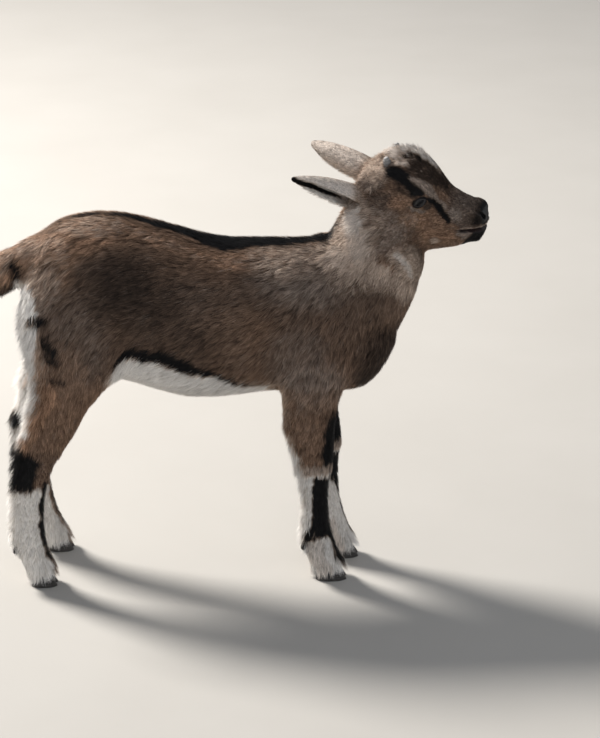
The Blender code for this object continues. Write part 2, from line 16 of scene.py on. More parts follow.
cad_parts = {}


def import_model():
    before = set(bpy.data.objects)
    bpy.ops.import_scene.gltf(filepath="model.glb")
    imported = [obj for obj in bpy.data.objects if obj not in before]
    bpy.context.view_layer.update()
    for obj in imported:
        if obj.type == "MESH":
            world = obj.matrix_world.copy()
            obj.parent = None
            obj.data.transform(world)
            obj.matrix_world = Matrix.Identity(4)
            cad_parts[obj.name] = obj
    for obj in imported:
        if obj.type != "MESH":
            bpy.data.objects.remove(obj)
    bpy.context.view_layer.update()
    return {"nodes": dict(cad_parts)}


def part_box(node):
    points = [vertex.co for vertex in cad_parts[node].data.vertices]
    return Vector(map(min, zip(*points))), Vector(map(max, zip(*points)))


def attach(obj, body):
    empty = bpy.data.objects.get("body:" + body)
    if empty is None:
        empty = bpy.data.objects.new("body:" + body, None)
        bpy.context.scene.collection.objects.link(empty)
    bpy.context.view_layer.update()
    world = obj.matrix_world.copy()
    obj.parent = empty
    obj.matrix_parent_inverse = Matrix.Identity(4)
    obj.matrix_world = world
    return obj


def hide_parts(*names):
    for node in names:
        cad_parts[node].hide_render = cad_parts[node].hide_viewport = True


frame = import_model()
SIDES = {"left": 1.0, "right": -1.0}
NOT_FLESH = ("eye_", "horn_bud_", "claw_", "dewclaw_")
FLESH = sorted(name for name in frame["nodes"] if not name.startswith(NOT_FLESH))
SHARE = 1.0  # of the locks of hair that are planted

# The body's own frame: X forwards, the middle plane of the trunk at Y = 0, the floor at Z = 0.
TAIL_CUT = 0.20915
MIDDLE = (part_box("trunk")[0].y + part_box("trunk")[1].y) / 2
BODY = Vector((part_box("tail")[1].x + TAIL_CUT, MIDDLE, 0.0))

# The head's own frame, between the eyes: X to the nose, Y to the kid's left, Z to the crown.
HEAD_TURN = math.radians(-16)
HEAD_NOD = math.radians(18)
HEAD_TILT = math.radians(8)
EYE_PLACE = Vector((0.0, 0.0205, -0.0010))


def middle_of(node):
    low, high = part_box(node)
    return (low + high) / 2


def head_frame():
    turn = Matrix.Rotation(HEAD_TURN, 4, "Z") @ Matrix.Rotation(HEAD_NOD, 4, "Y")
    turn = turn @ Matrix.Rotation(HEAD_TILT, 4, "X")
    between_eyes = (middle_of("eye_left") + middle_of("eye_right")) / 2
    drop = turn @ Vector((0.0, 0.0, EYE_PLACE.z))
    return Matrix.Translation(between_eyes - drop) @ turn


HEAD = head_frame()
HEAD_WAYS = np.array(HEAD.to_3x3())


# ---------------------------------------------------------------- small tools for rows of points


def in_frame(points, matrix):
    """The points, as seen in the frame that the matrix places."""
    back = np.array(matrix.inverted())
    return points @ back[:3, :3].T + back[:3, 3]


def out_of_frame(points, matrix):
    forth = np.array(matrix)
    return points @ forth[:3, :3].T + forth[:3, 3]


def unit(vectors):
    return vectors / np.maximum(np.linalg.norm(vectors, axis=-1, keepdims=True), 1e-9)


def rise(value, edge, blur):
    """0 below the edge, 1 above it, and a soft step of that blur between."""
    t = np.clip((value - edge) / blur + 0.5, 0.0, 1.0)
    return t * t * (3.0 - 2.0 * t)


def fall(value, edge, blur):
    return 1.0 - rise(value, edge, blur)


def patch(points, centre, radii, blur=0.5):
    """1 inside a stretched ball, 0 outside it."""
    away = np.linalg.norm((points - np.array(centre)) / np.array(radii), axis=1)
    return fall(away, 1.0, blur)


def distance_to_path(points, path):
    """How far each point is from a line through the path's places, and at what share of the line."""
    best = np.full(len(points), np.inf)
    along = np.zeros(len(points))
    path = np.array(path, dtype=float)
    for index, (start, end) in enumerate(zip(path, path[1:])):
        way = end - start
        t = np.clip((points - start) @ way / (way @ way), 0.0, 1.0)
        away = np.linalg.norm(points - start - t[:, None] * way, axis=1)
        nearer = away < best
        best = np.where(nearer, away, best)
        along = np.where(nearer, (index + t) / (len(path) - 1), along)
    return best, along


def stripe(points, path, half_width, blur=0.0015):
    return fall(distance_to_path(points, path)[0], half_width, blur)


def tapering(points, path, shares, half_widths, blur):
    """A stripe whose half width changes along its path."""
    away, along = distance_to_path(points, path)
    return fall(away, np.interp(along, shares, half_widths), blur)


def ripple(points, size, seed):
    """Smooth noise from about -1 to 1, with crests about size metres apart: waves in seeded directions."""
    random = np.random.default_rng(seed)
    total = np.zeros(len(points))
    for _ in range(8):
        way = random.normal(size=3)
        way *= math.tau / (size * random.uniform(0.7, 1.7)) / np.linalg.norm(way)
        total += np.sin(points @ way + random.uniform(0.0, math.tau))
    return total / 2.8


def mirrored(points):
    """The points with their left half folded over the right, and the sign of the side each came from."""
    folded = points.copy()
    folded[:, 1] = np.abs(folded[:, 1])
    return folded, np.where(points[:, 1] < 0.0, -1.0, 1.0)


def smoothed(values, edges, rounds):
    """Values at the corners of a mesh, each drawn towards the mean of its neighbours, round after round."""
    values = values.reshape(len(values), -1).astype(float)
    first, second = edges[:, 0], edges[:, 1]
    count = len(values)
    met = np.bincount(first, minlength=count) + np.bincount(second, minlength=count)
    met = np.maximum(met, 1)
    for _ in range(rounds):
        for column in range(values.shape[1]):
            line = values[:, column]
            total = np.bincount(first, line[second], count) + np.bincount(second, line[first], count)
            values[:, column] = 0.5 * line + 0.5 * total / met
    return values


def corners_of(mesh):
    points = np.empty(len(mesh.vertices) * 3, np.float32)
    mesh.vertices.foreach_get("co", points)
    return points.reshape(-1, 3).astype(float)


def normals_of(mesh):
    normals = np.empty(len(mesh.vertices) * 3, np.float32)
    mesh.vertex_normals.foreach_get("vector", normals)
    return normals.reshape(-1, 3).astype(float)


def edges_of(mesh):
    edges = np.empty(len(mesh.edges) * 2, np.int32)
    mesh.edges.foreach_get("vertices", edges)
    return edges.reshape(-1, 2)


def move_corners(mesh, points):
    mesh.vertices.foreach_set("co", points.astype(np.float32).ravel())
    mesh.update()


def new_piece(name, mesh):
    piece = bpy.data.objects.new(name, mesh)
    bpy.context.scene.collection.objects.link(piece)
    return piece


def mesh_from(name, points, faces, smooth=True):
    mesh = bpy.data.meshes.new(name)
    mesh.from_pydata([tuple(point) for point in points], [], faces)
    mesh.update()
    if smooth:
        mesh.shade_smooth()
    return mesh


def place_outward(mesh, turn):
    """Moves a closed mesh into place, its faces looking outwards even where the frame is a mirrored one."""
    shape = bmesh.new()
    shape.from_mesh(mesh)
    bmesh.ops.transform(shape, matrix=turn, verts=shape.verts[:])
    bmesh.ops.recalc_face_normals(shape, faces=shape.faces[:])
    shape.to_mesh(mesh)
    shape.free()


def shaped(piece):
    """The piece's mesh with its modifiers applied, put back into the piece."""
    bpy.context.view_layer.update()
    graph = bpy.context.evaluated_depsgraph_get()
    mesh = bpy.data.meshes.new_from_object(piece.evaluated_get(graph))
    piece.modifiers.clear()
    piece.data = mesh
    return mesh


def carry(mesh, name, values):
    """Stores one colour of four numbers, or one number, at each corner of the mesh."""
    values = np.asarray(values, dtype=np.float32)
    if values.ndim == 1:
        mesh.attributes.new(name, "FLOAT", "POINT").data.foreach_set("value", values)
    else:
        mesh.attributes.new(name, "FLOAT_COLOR", "POINT").data.foreach_set("color", values.ravel())


def finished(piece, slot, *replaced):
    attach(piece, "root")
    if replaced:
        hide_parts(*replaced)
    return piece


# ---------------------------------------------------------------- the ears and legs as lines to measure from

EAR_ROOT = {"right": (-0.046, -0.023, -0.023), "left": (-0.046, 0.023, -0.019)}
EAR_TIP = {"right": (-0.120, -0.062, -0.012), "left": (-0.131, 0.048, -0.027)}
EAR_OPENING = {"right": (0.1, -1.0, -0.55), "left": (0.1, 1.0, -0.55)}


def leg_names():
    return [f"{pair}_{side}" for pair in ("foreleg", "hindleg") for side in SIDES]


def sign_of(leg):
    return SIDES[leg.split("_")[1]]


class Body:
    """Where points of the kid lie on it: in the body's frame, the head's frame, and on which named part."""

    def __init__(self, points, part):
        self.points = points
        self.part = part
        self.body = points - np.array(BODY)
        self.head = in_frame(points, HEAD)
        self.folded, self.side = mirrored(self.body)
        self.face, self.face_side = mirrored(self.head)

    def on(self, *words):
        """1 for the points on parts whose name starts or ends with one of the words, 0 elsewhere."""
        chosen = [
            index
            for index, name in enumerate(FLESH)
            if any(name.startswith(word) or name.endswith(word) for word in words)
        ]
        return np.isin(self.part, chosen).astype(float)


def part_finder():
    """A tree over the corners of the CAD flesh, and the part that each corner belongs to."""
    places = []
    owners = []
    for index, name in enumerate(FLESH):
        corners = corners_of(frame["nodes"][name].data)
        places.append(corners)
        owners += [index] * len(corners)
    places = np.vstack(places)
    tree = KDTree(len(places))
    for index, place in enumerate(places):
        tree.insert(place, index)
    tree.balance()
    return tree, np.array(owners)


def nearest_parts(points, finder):
    tree, owners = finder
    return np.array([owners[tree.find(point)[1]] for point in points])


# Each leg's rear and front edge, and its inner and outer side, at a row of heights, from the CAD.
LEG_HEIGHTS = np.arange(0.006, 0.300, 0.008)


def leg_lines(leg):
    """Rear, front, inner and outer edge of a leg at LEG_HEIGHTS, in the body's frame."""
    sign = sign_of(leg)
    names = [name for name in FLESH if name.startswith(leg)]
    corners = [corners_of(frame["nodes"][name].data) - np.array(BODY) for name in names]
    if leg.startswith("foreleg"):
        trunk = corners_of(frame["nodes"]["trunk"].data) - np.array(BODY)
        near = (trunk[:, 0] > 0.045) & (trunk[:, 0] < 0.130) & (trunk[:, 2] < 0.235)
        corners.append(trunk[near & (trunk[:, 1] * sign > 0.012)])
    corners = np.vstack(corners)
    rows = []
    for height in LEG_HEIGHTS:
        near = corners[np.abs(corners[:, 2] - height) < 0.009]
        if len(near) < 6:
            rows.append(rows[-1] if rows else (0.0, 0.01, 0.03, 0.05))
            continue
        out = near[:, 1] * sign
        rows.append((near[:, 0].min(), near[:, 0].max(), out.min(), out.max()))
    return np.array(rows)


LEG_LINES = {leg: leg_lines(leg) for leg in leg_names()}


def leg_place(where, leg):
    """From rear (-1) to front (1), from inside (-1) to outside (1), and the height, for points of a leg."""
    lines = LEG_LINES[leg]
    sign = sign_of(leg)
    height = where.body[:, 2]
    rear, front, inner, outer = (np.interp(height, LEG_HEIGHTS, lines[:, column]) for column in range(4))
    fore = 2.0 * (where.body[:, 0] - rear) / np.maximum(front - rear, 0.004) - 1.0
    out = 2.0 * (where.body[:, 1] * sign - inner) / np.maximum(outer - inner, 0.004) - 1.0
    return fore, out, height


# ---------------------------------------------------------------- eyes: where they look and how far they open

EYE_RADIUS = 0.0106
LID_RADIUS = 0.0117
OPENING_HALF = 0.0064
OPENING_RISE = 0.0037
OPENING_DROP = 0.0033
OPENING_SLANT = math.radians(50)
PUPIL_SLANT = math.radians(10)  # beyond the slant of the lids
GAZE = Vector((0.11, 0.97, 0.16))


def eye_frame(side):
    """X along the slit towards the nose, Y up over the eye, Z out of it, from the middle of the eyeball."""
    out = Vector((GAZE.x, GAZE.y * SIDES[side], GAZE.z)).normalized()
    along = Vector((math.cos(OPENING_SLANT), 0.0, math.sin(OPENING_SLANT)))
    along = (along - out * along.dot(out)).normalized()
    up = out.cross(along)
    if up.z < 0:
        up = -up
    turn = Matrix((along, up, out)).transposed().to_4x4()
    place = Matrix.Translation((EYE_PLACE.x, EYE_PLACE.y * SIDES[side], EYE_PLACE.z))
    return HEAD @ place @ turn


EYES = {side: eye_frame(side) for side in SIDES}
EYE_REACH = 0.0150  # how far from the ball's middle the lids are shaped


def upper_lid(along):
    return OPENING_RISE * (1.0 - np.abs(along / OPENING_HALF) ** 2.2)


def lower_lid(along):
    return -OPENING_DROP * (1.0 - np.abs(along / OPENING_HALF) ** 2.0)


# ---------------------------------------------------------------- markings

# Height of the edge between the white belly and the dark flank, along the body.
BELLY_X = (-0.125, -0.103, -0.087, -0.067, -0.047, -0.028, -0.008, 0.011, 0.031, 0.058, 0.075)
BELLY_EDGE = (0.230, 0.246, 0.251, 0.249, 0.242, 0.236, 0.230, 0.225, 0.220, 0.212, 0.194)
BAND_X = (-0.115, -0.098, -0.075, -0.055, -0.030, 0.000, 0.035)
BAND_DEPTH = (0.000, 0.009, 0.013, 0.0125, 0.0095, 0.0048, 0.0012)
# Half breadth of the black line down the back, and the ginger line beside it, on the left half. The ginger
# line is partly the coat's own ginger and partly painted sunlight along the top of the back.
RIDGE_X = (-0.170, -0.140, -0.110, -0.070, -0.030, 0.000, 0.030, 0.070, 0.110)
RIDGE_HALF = (0.0008, 0.0014, 0.0026, 0.0060, 0.0120, 0.0176, 0.0146, 0.0092, 0.0106)
GINGER = (
    (-0.190, 0.012, 0.354),
    (-0.162, 0.034, 0.357),
    (-0.138, 0.029, 0.370),
    (-0.114, 0.021, 0.378),
    (-0.0855, 0.021, 0.374),
    (-0.0367, 0.028, 0.355),
    (-0.0124, 0.031, 0.348),
    (0.020, 0.033, 0.343),
    (0.050, 0.030, 0.346),
    (0.064, 0.034, 0.343),
)
# The pale hair at the foot of each ear, in the head's frame.
EAR_FOOT = ((-0.0640, 0.0370, -0.0315), (-0.0550, 0.0410, -0.0290), (-0.0470, 0.0450, -0.0260))
# The painted shadow in the narrow opening of the rolled right ear, a dark line from tip to root: along the
# ear, across it and into its cup.
EAR_SLIT_SHADOW = (
    (0.0841, 0.0031, -0.0006),
    (0.0765, -0.0027, -0.0026),
    (0.0667, -0.0058, -0.0029),
    (0.0576, -0.0074, -0.0034),
    (0.0482, -0.0091, -0.0023),
    (0.0393, -0.0099, -0.0018),
    (0.0305, -0.0102, -0.0011),
    (0.0220, -0.0099, -0.0001),
)


# Patches of the croup, withers and shoulder, on the body's left half. Their warm and pale tones are partly
# the coat's own ginger and cream and partly painted sunlight on the top of the croup and withers.
BACK_AND_SHOULDER_PATCHES = (
    ("warm", 0.80, (-0.135, 0.026, 0.370), (0.036, 0.026, 0.020), 0.9),
    ("pale", 0.30, (-0.128, 0.018, 0.376), (0.036, 0.018, 0.012), 0.9),
    ("warm", 0.95, (-0.164, 0.040, 0.350), (0.018, 0.024, 0.032), 0.9),
    ("pale", 0.28, (-0.166, 0.040, 0.352), (0.018, 0.024, 0.030), 0.9),
    ("warm", 0.66, (0.058, 0.030, 0.347), (0.034, 0.022, 0.020), 0.9),
    ("frost", 0.34, (-0.145, 0.058, 0.275), (0.035, 0.030, 0.055), 0.9),
    ("warm", 0.80, (-0.184, 0.040, 0.336), (0.026, 0.022, 0.036), 0.8),
    ("frost", 0.55, (-0.184, 0.044, 0.322), (0.024, 0.022, 0.036), 0.9),
    ("pale", 0.28, (-0.180, 0.040, 0.334), (0.026, 0.022, 0.032), 0.9),
    ("warm", 0.60, (0.088, 0.045, 0.226), (0.036, 0.030, 0.034), 0.9),
    ("frost", 0.60, (0.082, 0.045, 0.226), (0.036, 0.030, 0.030), 0.9),
    ("frost", 0.45, (0.070, 0.047, 0.250), (0.030, 0.024, 0.040), 0.9),
    ("pale", 0.08, (0.070, 0.047, 0.250), (0.030, 0.024, 0.040), 0.9),
    ("frost", 0.66, (0.084, 0.040, 0.336), (0.056, 0.040, 0.034), 1.1),
)
# Cream patches of the neck, and dark ones of the chest and flank. The pale patches at the foot of the neck
# and on the withers are partly cream hair and partly painted sunlight.
NECK_AND_FLANK_PATCHES = (
    ("pale", 0.60, (0.158, 0.031, 0.352), (0.020, 0.022, 0.020), 0.9),
    ("pale", 0.76, (0.125, 0.024, 0.386), (0.016, 0.026, 0.024), 1.1),
    ("pale", 0.68, (0.130, 0.032, 0.366), (0.020, 0.026, 0.034), 1.1),
    ("pale", 0.66, (0.108, 0.029, 0.350), (0.020, 0.018, 0.018), 1.0),
    ("pale", 0.52, (0.120, 0.028, 0.352), (0.026, 0.032, 0.034), 1.1),
    ("pale", 0.62, (0.154, 0.030, 0.350), (0.024, 0.024, 0.028), 1.0),
    ("pale", 0.42, (0.060, 0.028, 0.346), (0.034, 0.020, 0.022), 1.1),
    ("dark", 0.50, (0.154, 0.012, 0.240), (0.034, 0.040, 0.046), 0.9),
    ("dark", 0.54, (-0.098, 0.054, 0.332), (0.042, 0.020, 0.042), 1.1),
    ("dark", 0.36, (-0.074, 0.056, 0.310), (0.040, 0.030, 0.034), 1.0),
    ("dark", 0.30, (-0.050, 0.058, 0.270), (0.050, 0.030, 0.030), 1.0),
)


def blank(where):
    return {name: np.zeros(len(where.points)) for name in ("dark", "pale", "warm", "frost", "bare")}


def over(marks, name, amount):
    """Lays one marking over the others, which fade under it."""
    for other in ("dark", "pale", "warm", "frost"):
        if other != name:
            marks[other] = marks[other] * (1.0 - amount)
    marks[name] = np.maximum(marks[name], amount)


def over_patches(marks, own, points, table):
    """Lays patches one over the other. Each row: marking, strength, centre, radii, blur."""
    for name, strength, centre, radii, blur in table:
        over(marks, name, own * strength * patch(points, centre, radii, blur))


def trunk_marks(where, normals, marks):
    x, y, z = where.folded.T
    own = where.on("trunk", "neck", "thigh")
    facing_up = normals[:, 2]
    uneven = 0.0020 * ripple(where.points, 0.018, 11)

    # Painted sunlight: warmer hair on the up-facing top of the back, where light falls from above.
    sunned = own * 0.34 * fall(y, 0.036, 0.022) * rise(facing_up, 0.15, 0.5)
    over(marks, "warm", sunned * fall(x, 0.100, 0.03))
    away, along = distance_to_path(where.folded, GINGER)
    width = np.interp(along, (0.0, 0.25, 0.45, 0.65, 0.85, 1.0), (0.020, 0.018, 0.009, 0.006, 0.012, 0.014))
    over(marks, "warm", own * 0.95 * fall(away, width, 0.015))
    over(marks, "frost", own * 0.30 * fall(away, 0.6 * width, 0.012) * rise(np.abs(x), 0.03, 0.04))
    over(marks, "pale", own * 0.25 * fall(away, 0.6 * width, 0.012))
    over_patches(marks, own, where.folded, BACK_AND_SHOULDER_PATCHES)
    over(marks, "frost", own * 0.75 * where.on("neck") * rise(z, 0.32, 0.04))
    over(marks, "pale", 0.50 * where.on("neck") * rise(z, 0.325, 0.03))
    over_patches(marks, own, where.folded, NECK_AND_FLANK_PATCHES)

    edge = np.interp(x, BELLY_X, BELLY_EDGE) + 1.5 * uneven
    under = own * fall(z, edge, 0.006) * rise(x, -0.118, 0.02) * fall(x, 0.058, 0.02)
    depth = np.interp(x, BAND_X, BAND_DEPTH) * 1.15
    band = own * fall(np.abs(z - edge - depth / 2), depth / 2 + 0.0010, 0.005) * rise(depth, 0.002, 0.003)
    above_belly = own * 0.40 * fall(z, edge + 0.008, 0.016) * rise(x, -0.020, 0.03)
    over(marks, "pale", above_belly * fall(x, 0.060, 0.02))
    over(marks, "dark", band)
    over(marks, "pale", under)

    top = rise(facing_up, 0.05, 0.3) * rise(z, 0.31, 0.02)
    along = rise(x, -0.170, 0.030) * fall(x, 0.112, 0.014)
    half = np.interp(x, RIDGE_X, RIDGE_HALF)
    over(marks, "dark", own * top * along * fall(y, half + 0.8 * uneven, 0.005) * where.on("trunk", "neck"))

    throat = patch(where.folded, (0.184, 0.0, 0.326), (0.020, 0.022, 0.026), 0.5)
    over(marks, "pale", where.on("neck", "lower_jaw", "trunk") * throat * 0.9)
    over(marks, "pale", 0.60 * where.on("neck", "head") * stripe(where.face, EAR_FOOT, 0.0030, 0.004))


def rump_marks(where, marks):
    own = where.on("trunk", "thigh", "tail")
    folded = where.folded + 0.0008 * ripple(where.points, 0.010, 12)[:, None]
    x, _, z = folded.T
    below_tail = rise(z, 0.2895, 0.004) * fall(z, 0.326, 0.008) * fall(x + 0.37 * (z - 0.328), -0.192, 0.004)
    over(marks, "pale", own * below_tail * (1.0 - where.on("tail")))
    tan = rise(x, -0.1860, 0.003) * patch(folded, (-0.182, 0.048, 0.250), (0.008, 0.018, 0.026), 0.8)
    over(marks, "warm", own * 0.75 * tan)
    over(marks, "pale", own * 0.30 * tan)
    over(marks, "dark", own * patch(folded, (-0.184, 0.046, 0.2915), (0.010, 0.014, 0.0044), 0.9) * 0.88)
    streak = stripe(folded, ((-0.1765, 0.0530, 0.272), (-0.1690, 0.0565, 0.256)), 0.0074, 0.006)
    over(marks, "dark", own * streak * (0.75 + 0.35 * np.clip(ripple(where.points, 0.007, 13), -1.0, 1.0)))
    low_streak = stripe(folded, ((-0.176, 0.056, 0.236), (-0.161, 0.058, 0.233)), 0.0038, 0.005)
    over(marks, "dark", own * low_streak * 0.62)


def tail_marks(where, normals, marks):
    own = where.on("tail")
    # The tail is painted darker on its underside, as shade, and warmer and paler on its upper side, as light
    # from above.
    over(marks, "dark", own * 0.62 * fall(normals[:, 2], 0.06, 0.50))
    # Painted shade on the rump under the root of the tail.
    painted_shade_under_tail = patch(where.folded, (-0.209, 0.014, 0.332), (0.011, 0.016, 0.010), 0.5)
    over(marks, "dark", where.on("trunk") * 0.80 * painted_shade_under_tail)
    over(marks, "warm", own * 0.94 * rise(normals[:, 2], 0.10, 0.44))
    over(marks, "pale", own * 0.28 * rise(normals[:, 2], 0.40, 0.50))


def leg_marks(where, marks):
    uneven = 0.05 * ripple(where.points, 0.012, 21)
    for leg in leg_names():
        fore, out, height = leg_place(where, leg)
        fore = fore + uneven
        own = where.on(leg)
        x = where.body[:, 0]
        outwards = where.body[:, 1] * sign_of(leg)
        if leg.startswith("foreleg"):
            upper = where.on("trunk") * fall(height, 0.222, 0.01)
            upper = upper * rise(x, 0.045, 0.01) * fall(x, 0.130, 0.01)
            own = np.maximum(own, upper * rise(outwards, 0.008, 0.006))
            foreleg_marks(marks, own, fore, out, height)
        else:
            upper = where.on("trunk") * fall(height, 0.292, 0.006) * fall(x, -0.140, 0.02)
            own = np.maximum(own, upper * rise(outwards, 0.0, 0.006))
            hindleg_marks(marks, own, fore, out, height)
            fringe = fall(x, -0.1845, 0.004) * rise(height, 0.222, 0.01) * fall(height, 0.292, 0.006)
            over(marks, "pale", own * fringe)


def foreleg_marks(marks, own, fore, out, height):
    above_knee = rise(height, 0.133, 0.006)
    over(marks, "warm", own * above_knee * 0.34)
    over(marks, "pale", own * above_knee * fall(out, -0.45, 0.5) * fall(height, 0.205, 0.03) * 0.8)
    over(marks, "pale", own * above_knee * fall(fore, -0.70, 0.3) * fall(height, 0.168, 0.02))
    front = np.interp(height, (0.13, 0.15, 0.20), (0.40, 0.48, 0.70))
    over(marks, "dark", own * above_knee * rise(fore, front, 0.25) * fall(height, 0.200, 0.012))
    below = fall(height, 0.134, 0.006)
    over(marks, "pale", own * below)
    over(marks, "frost", own * 0.75 * fall(np.abs(height - 0.129), 0.005, 0.006) * rise(fore, -0.6, 0.4))
    inner_edge = np.interp(height, (0.062, 0.078, 0.095, 0.118), (1.05, 0.85, 0.30, 0.05))
    outer_edge = np.interp(height, (0.060, 0.090, 0.118), (-0.30, -0.20, -0.05))
    inwards = fall(out, -0.05, 0.7)
    rear_edge = inwards * inner_edge + (1.0 - inwards) * outer_edge
    cannon = fall(height, 0.119, 0.007) * rise(height, 0.052, 0.006)
    over(marks, "dark", own * cannon * rise(fore, rear_edge, 0.28))
    spur = fall(np.abs(height - 0.056 - 0.007 * fore), 0.006, 0.005)
    spur = spur * fall(fore, 0.1, 0.3) * rise(fore, -0.72, 0.3)
    over(marks, "dark", own * spur * rise(out, -0.1, 0.5))
    line = fall(height, 0.058, 0.006) * rise(fore, 0.78, 0.18)
    line = line * rise(height, 0.019, 0.008) * rise(out, -0.1, 0.5)
    over(marks, "dark", own * line * 0.95)
    grey_foot = own * fall(height, 0.050, 0.01) * fall(fore, 0.40, 0.3) * rise(fore, -0.7, 0.3)
    over(marks, "frost", grey_foot * 0.20)


def hindleg_marks(marks, own, fore, out, height):
    over(marks, "warm", own * fall(height, 0.27, 0.03) * rise(height, 0.15, 0.02) * 0.35)
    rear_half = own * fall(fore, -0.40, 0.3) * fall(height, 0.285, 0.02) * rise(height, 0.15, 0.02)
    over(marks, "warm", rear_half * 0.9)
    over(marks, "pale", own * fall(out, -0.35, 0.5) * fall(height, 0.262, 0.03) * rise(height, 0.10, 0.02))
    rear = np.interp(height, (0.16, 0.19, 0.23), (-0.66, -0.80, -0.82))
    over(marks, "pale", own * fall(fore, rear, 0.14) * fall(height, 0.240, 0.01))
    over(marks, "pale", own * fall(height, 0.111, 0.006) * fall(fore, 0.80, 0.2))
    upper = 0.1450 - 0.0200 * fore
    hock = rise(height, 0.108, 0.008) * fall(height, upper, 0.009) * fall(fore, 0.14, 0.40)
    over(marks, "dark", own * hock * rise(out, -0.20, 0.5))
    inner_spot = rise(height, 0.145, 0.005) * fall(height, 0.164, 0.006) * fall(fore, -0.05, 0.3)
    over(marks, "dark", own * inner_spot * fall(out, -0.20, 0.4))
    front = np.interp(height, (0.03, 0.09), (0.84, 0.68))
    line = rise(fore, front, 0.20) * fall(height, 0.116, 0.006)
    line = line * rise(height, 0.024, 0.006) * rise(out, 0.0, 0.4)
    over(marks, "dark", own * line * 0.95)


# Lines of the face on the head's left half: the black band from the horn to the eye, the pale stripe over the
# eye, and the black streak from the eye's front corner.
BAND = (
    (-0.0325, 0.0240, 0.0174),
    (-0.0285, 0.0262, 0.0185),
    (-0.0205, 0.0270, 0.0180),
    (-0.0140, 0.0280, 0.0155),
    (-0.0095, 0.0290, 0.0110),
    (-0.0070, 0.0298, 0.0068),
)
BROW = (
    (-0.0150, 0.0263, 0.0198),
    (-0.0063, 0.0242, 0.0172),
    (0.0015, 0.0222, 0.0145),
    (0.0097, 0.0205, 0.0080),
    (0.0165, 0.0190, 0.0015),
    (0.0230, 0.0175, -0.0010),
)
TEAR = (
    (0.0066, 0.0265, 0.0045),
    (0.0140, 0.0217, 0.0022),
    (0.0200, 0.0203, -0.0016),
    (0.0262, 0.0194, -0.0072),
    (0.0320, 0.0186, -0.0124),
)
THROAT_STREAK = ((0.165, 0.033, 0.351), (0.176, 0.029, 0.339), (0.183, 0.025, 0.322))
CROWN_STREAKS = (
    ((-0.0310, 0.0235, 0.0212), (-0.0200, 0.0225, 0.0235), (-0.0100, 0.0200, 0.0240)),
    ((-0.0280, 0.0200, 0.0245), (-0.0150, 0.0180, 0.0268), (-0.0020, 0.0150, 0.0245)),
    ((-0.0080, 0.0130, 0.0290), (0.0040, 0.0115, 0.0240), (0.0120, 0.0100, 0.0185)),
)
PARTING = ((-0.0300, 0.0, 0.0370), (-0.0080, 0.0, 0.0330), (0.0050, 0.0, 0.0255), (0.0160, 0.0, 0.0165))
# Patches of the cheek and round the eye, on the head's left half.
CHEEK_PATCHES = (
    ("frost", 0.62, (-0.026, 0.036, -0.036), (0.032, 0.030, 0.034), 0.9),
    ("pale", 0.30, (-0.040, 0.040, -0.036), (0.022, 0.026, 0.026), 0.9),
    ("warm", 0.85, (0.001, 0.030, -0.018), (0.019, 0.012, 0.0085), 0.9),
    ("pale", 0.22, (-0.006, 0.032, -0.020), (0.019, 0.012, 0.0085), 0.9),
    ("warm", 0.85, (-0.0175, 0.034, -0.006), (0.010, 0.012, 0.0070), 0.9),
    ("warm", 0.66, (0.030, 0.020, -0.028), (0.020, 0.012, 0.010), 0.9),
    ("frost", 0.74, (0.0008, 0.0285, -0.0082), (0.0085, 0.010, 0.0034), 0.8),
    ("frost", 0.60, (0.0090, 0.0262, -0.0015), (0.0046, 0.006, 0.0040), 0.6),
    ("dark", 0.45, (0.0090, 0.0262, -0.0015), (0.0050, 0.006, 0.0044), 0.6),
)
# Grey and cream hair behind the horn bud.
POLL_PATCHES = (
    ("frost", 0.90, (-0.050, 0.020, 0.008), (0.016, 0.020, 0.018), 0.7),
    ("pale", 0.54, (-0.050, 0.018, 0.010), (0.017, 0.020, 0.016), 0.7),
)
# Dark shade under the black band from horn to eye.
TEMPLE_PATCHES = (
    ("dark", 0.32, (-0.0225, 0.0300, 0.0095), (0.0125, 0.010, 0.0090), 0.8),
    ("dark", 0.45, (-0.0150, 0.0300, 0.0095), (0.0110, 0.010, 0.0070), 0.7),
)


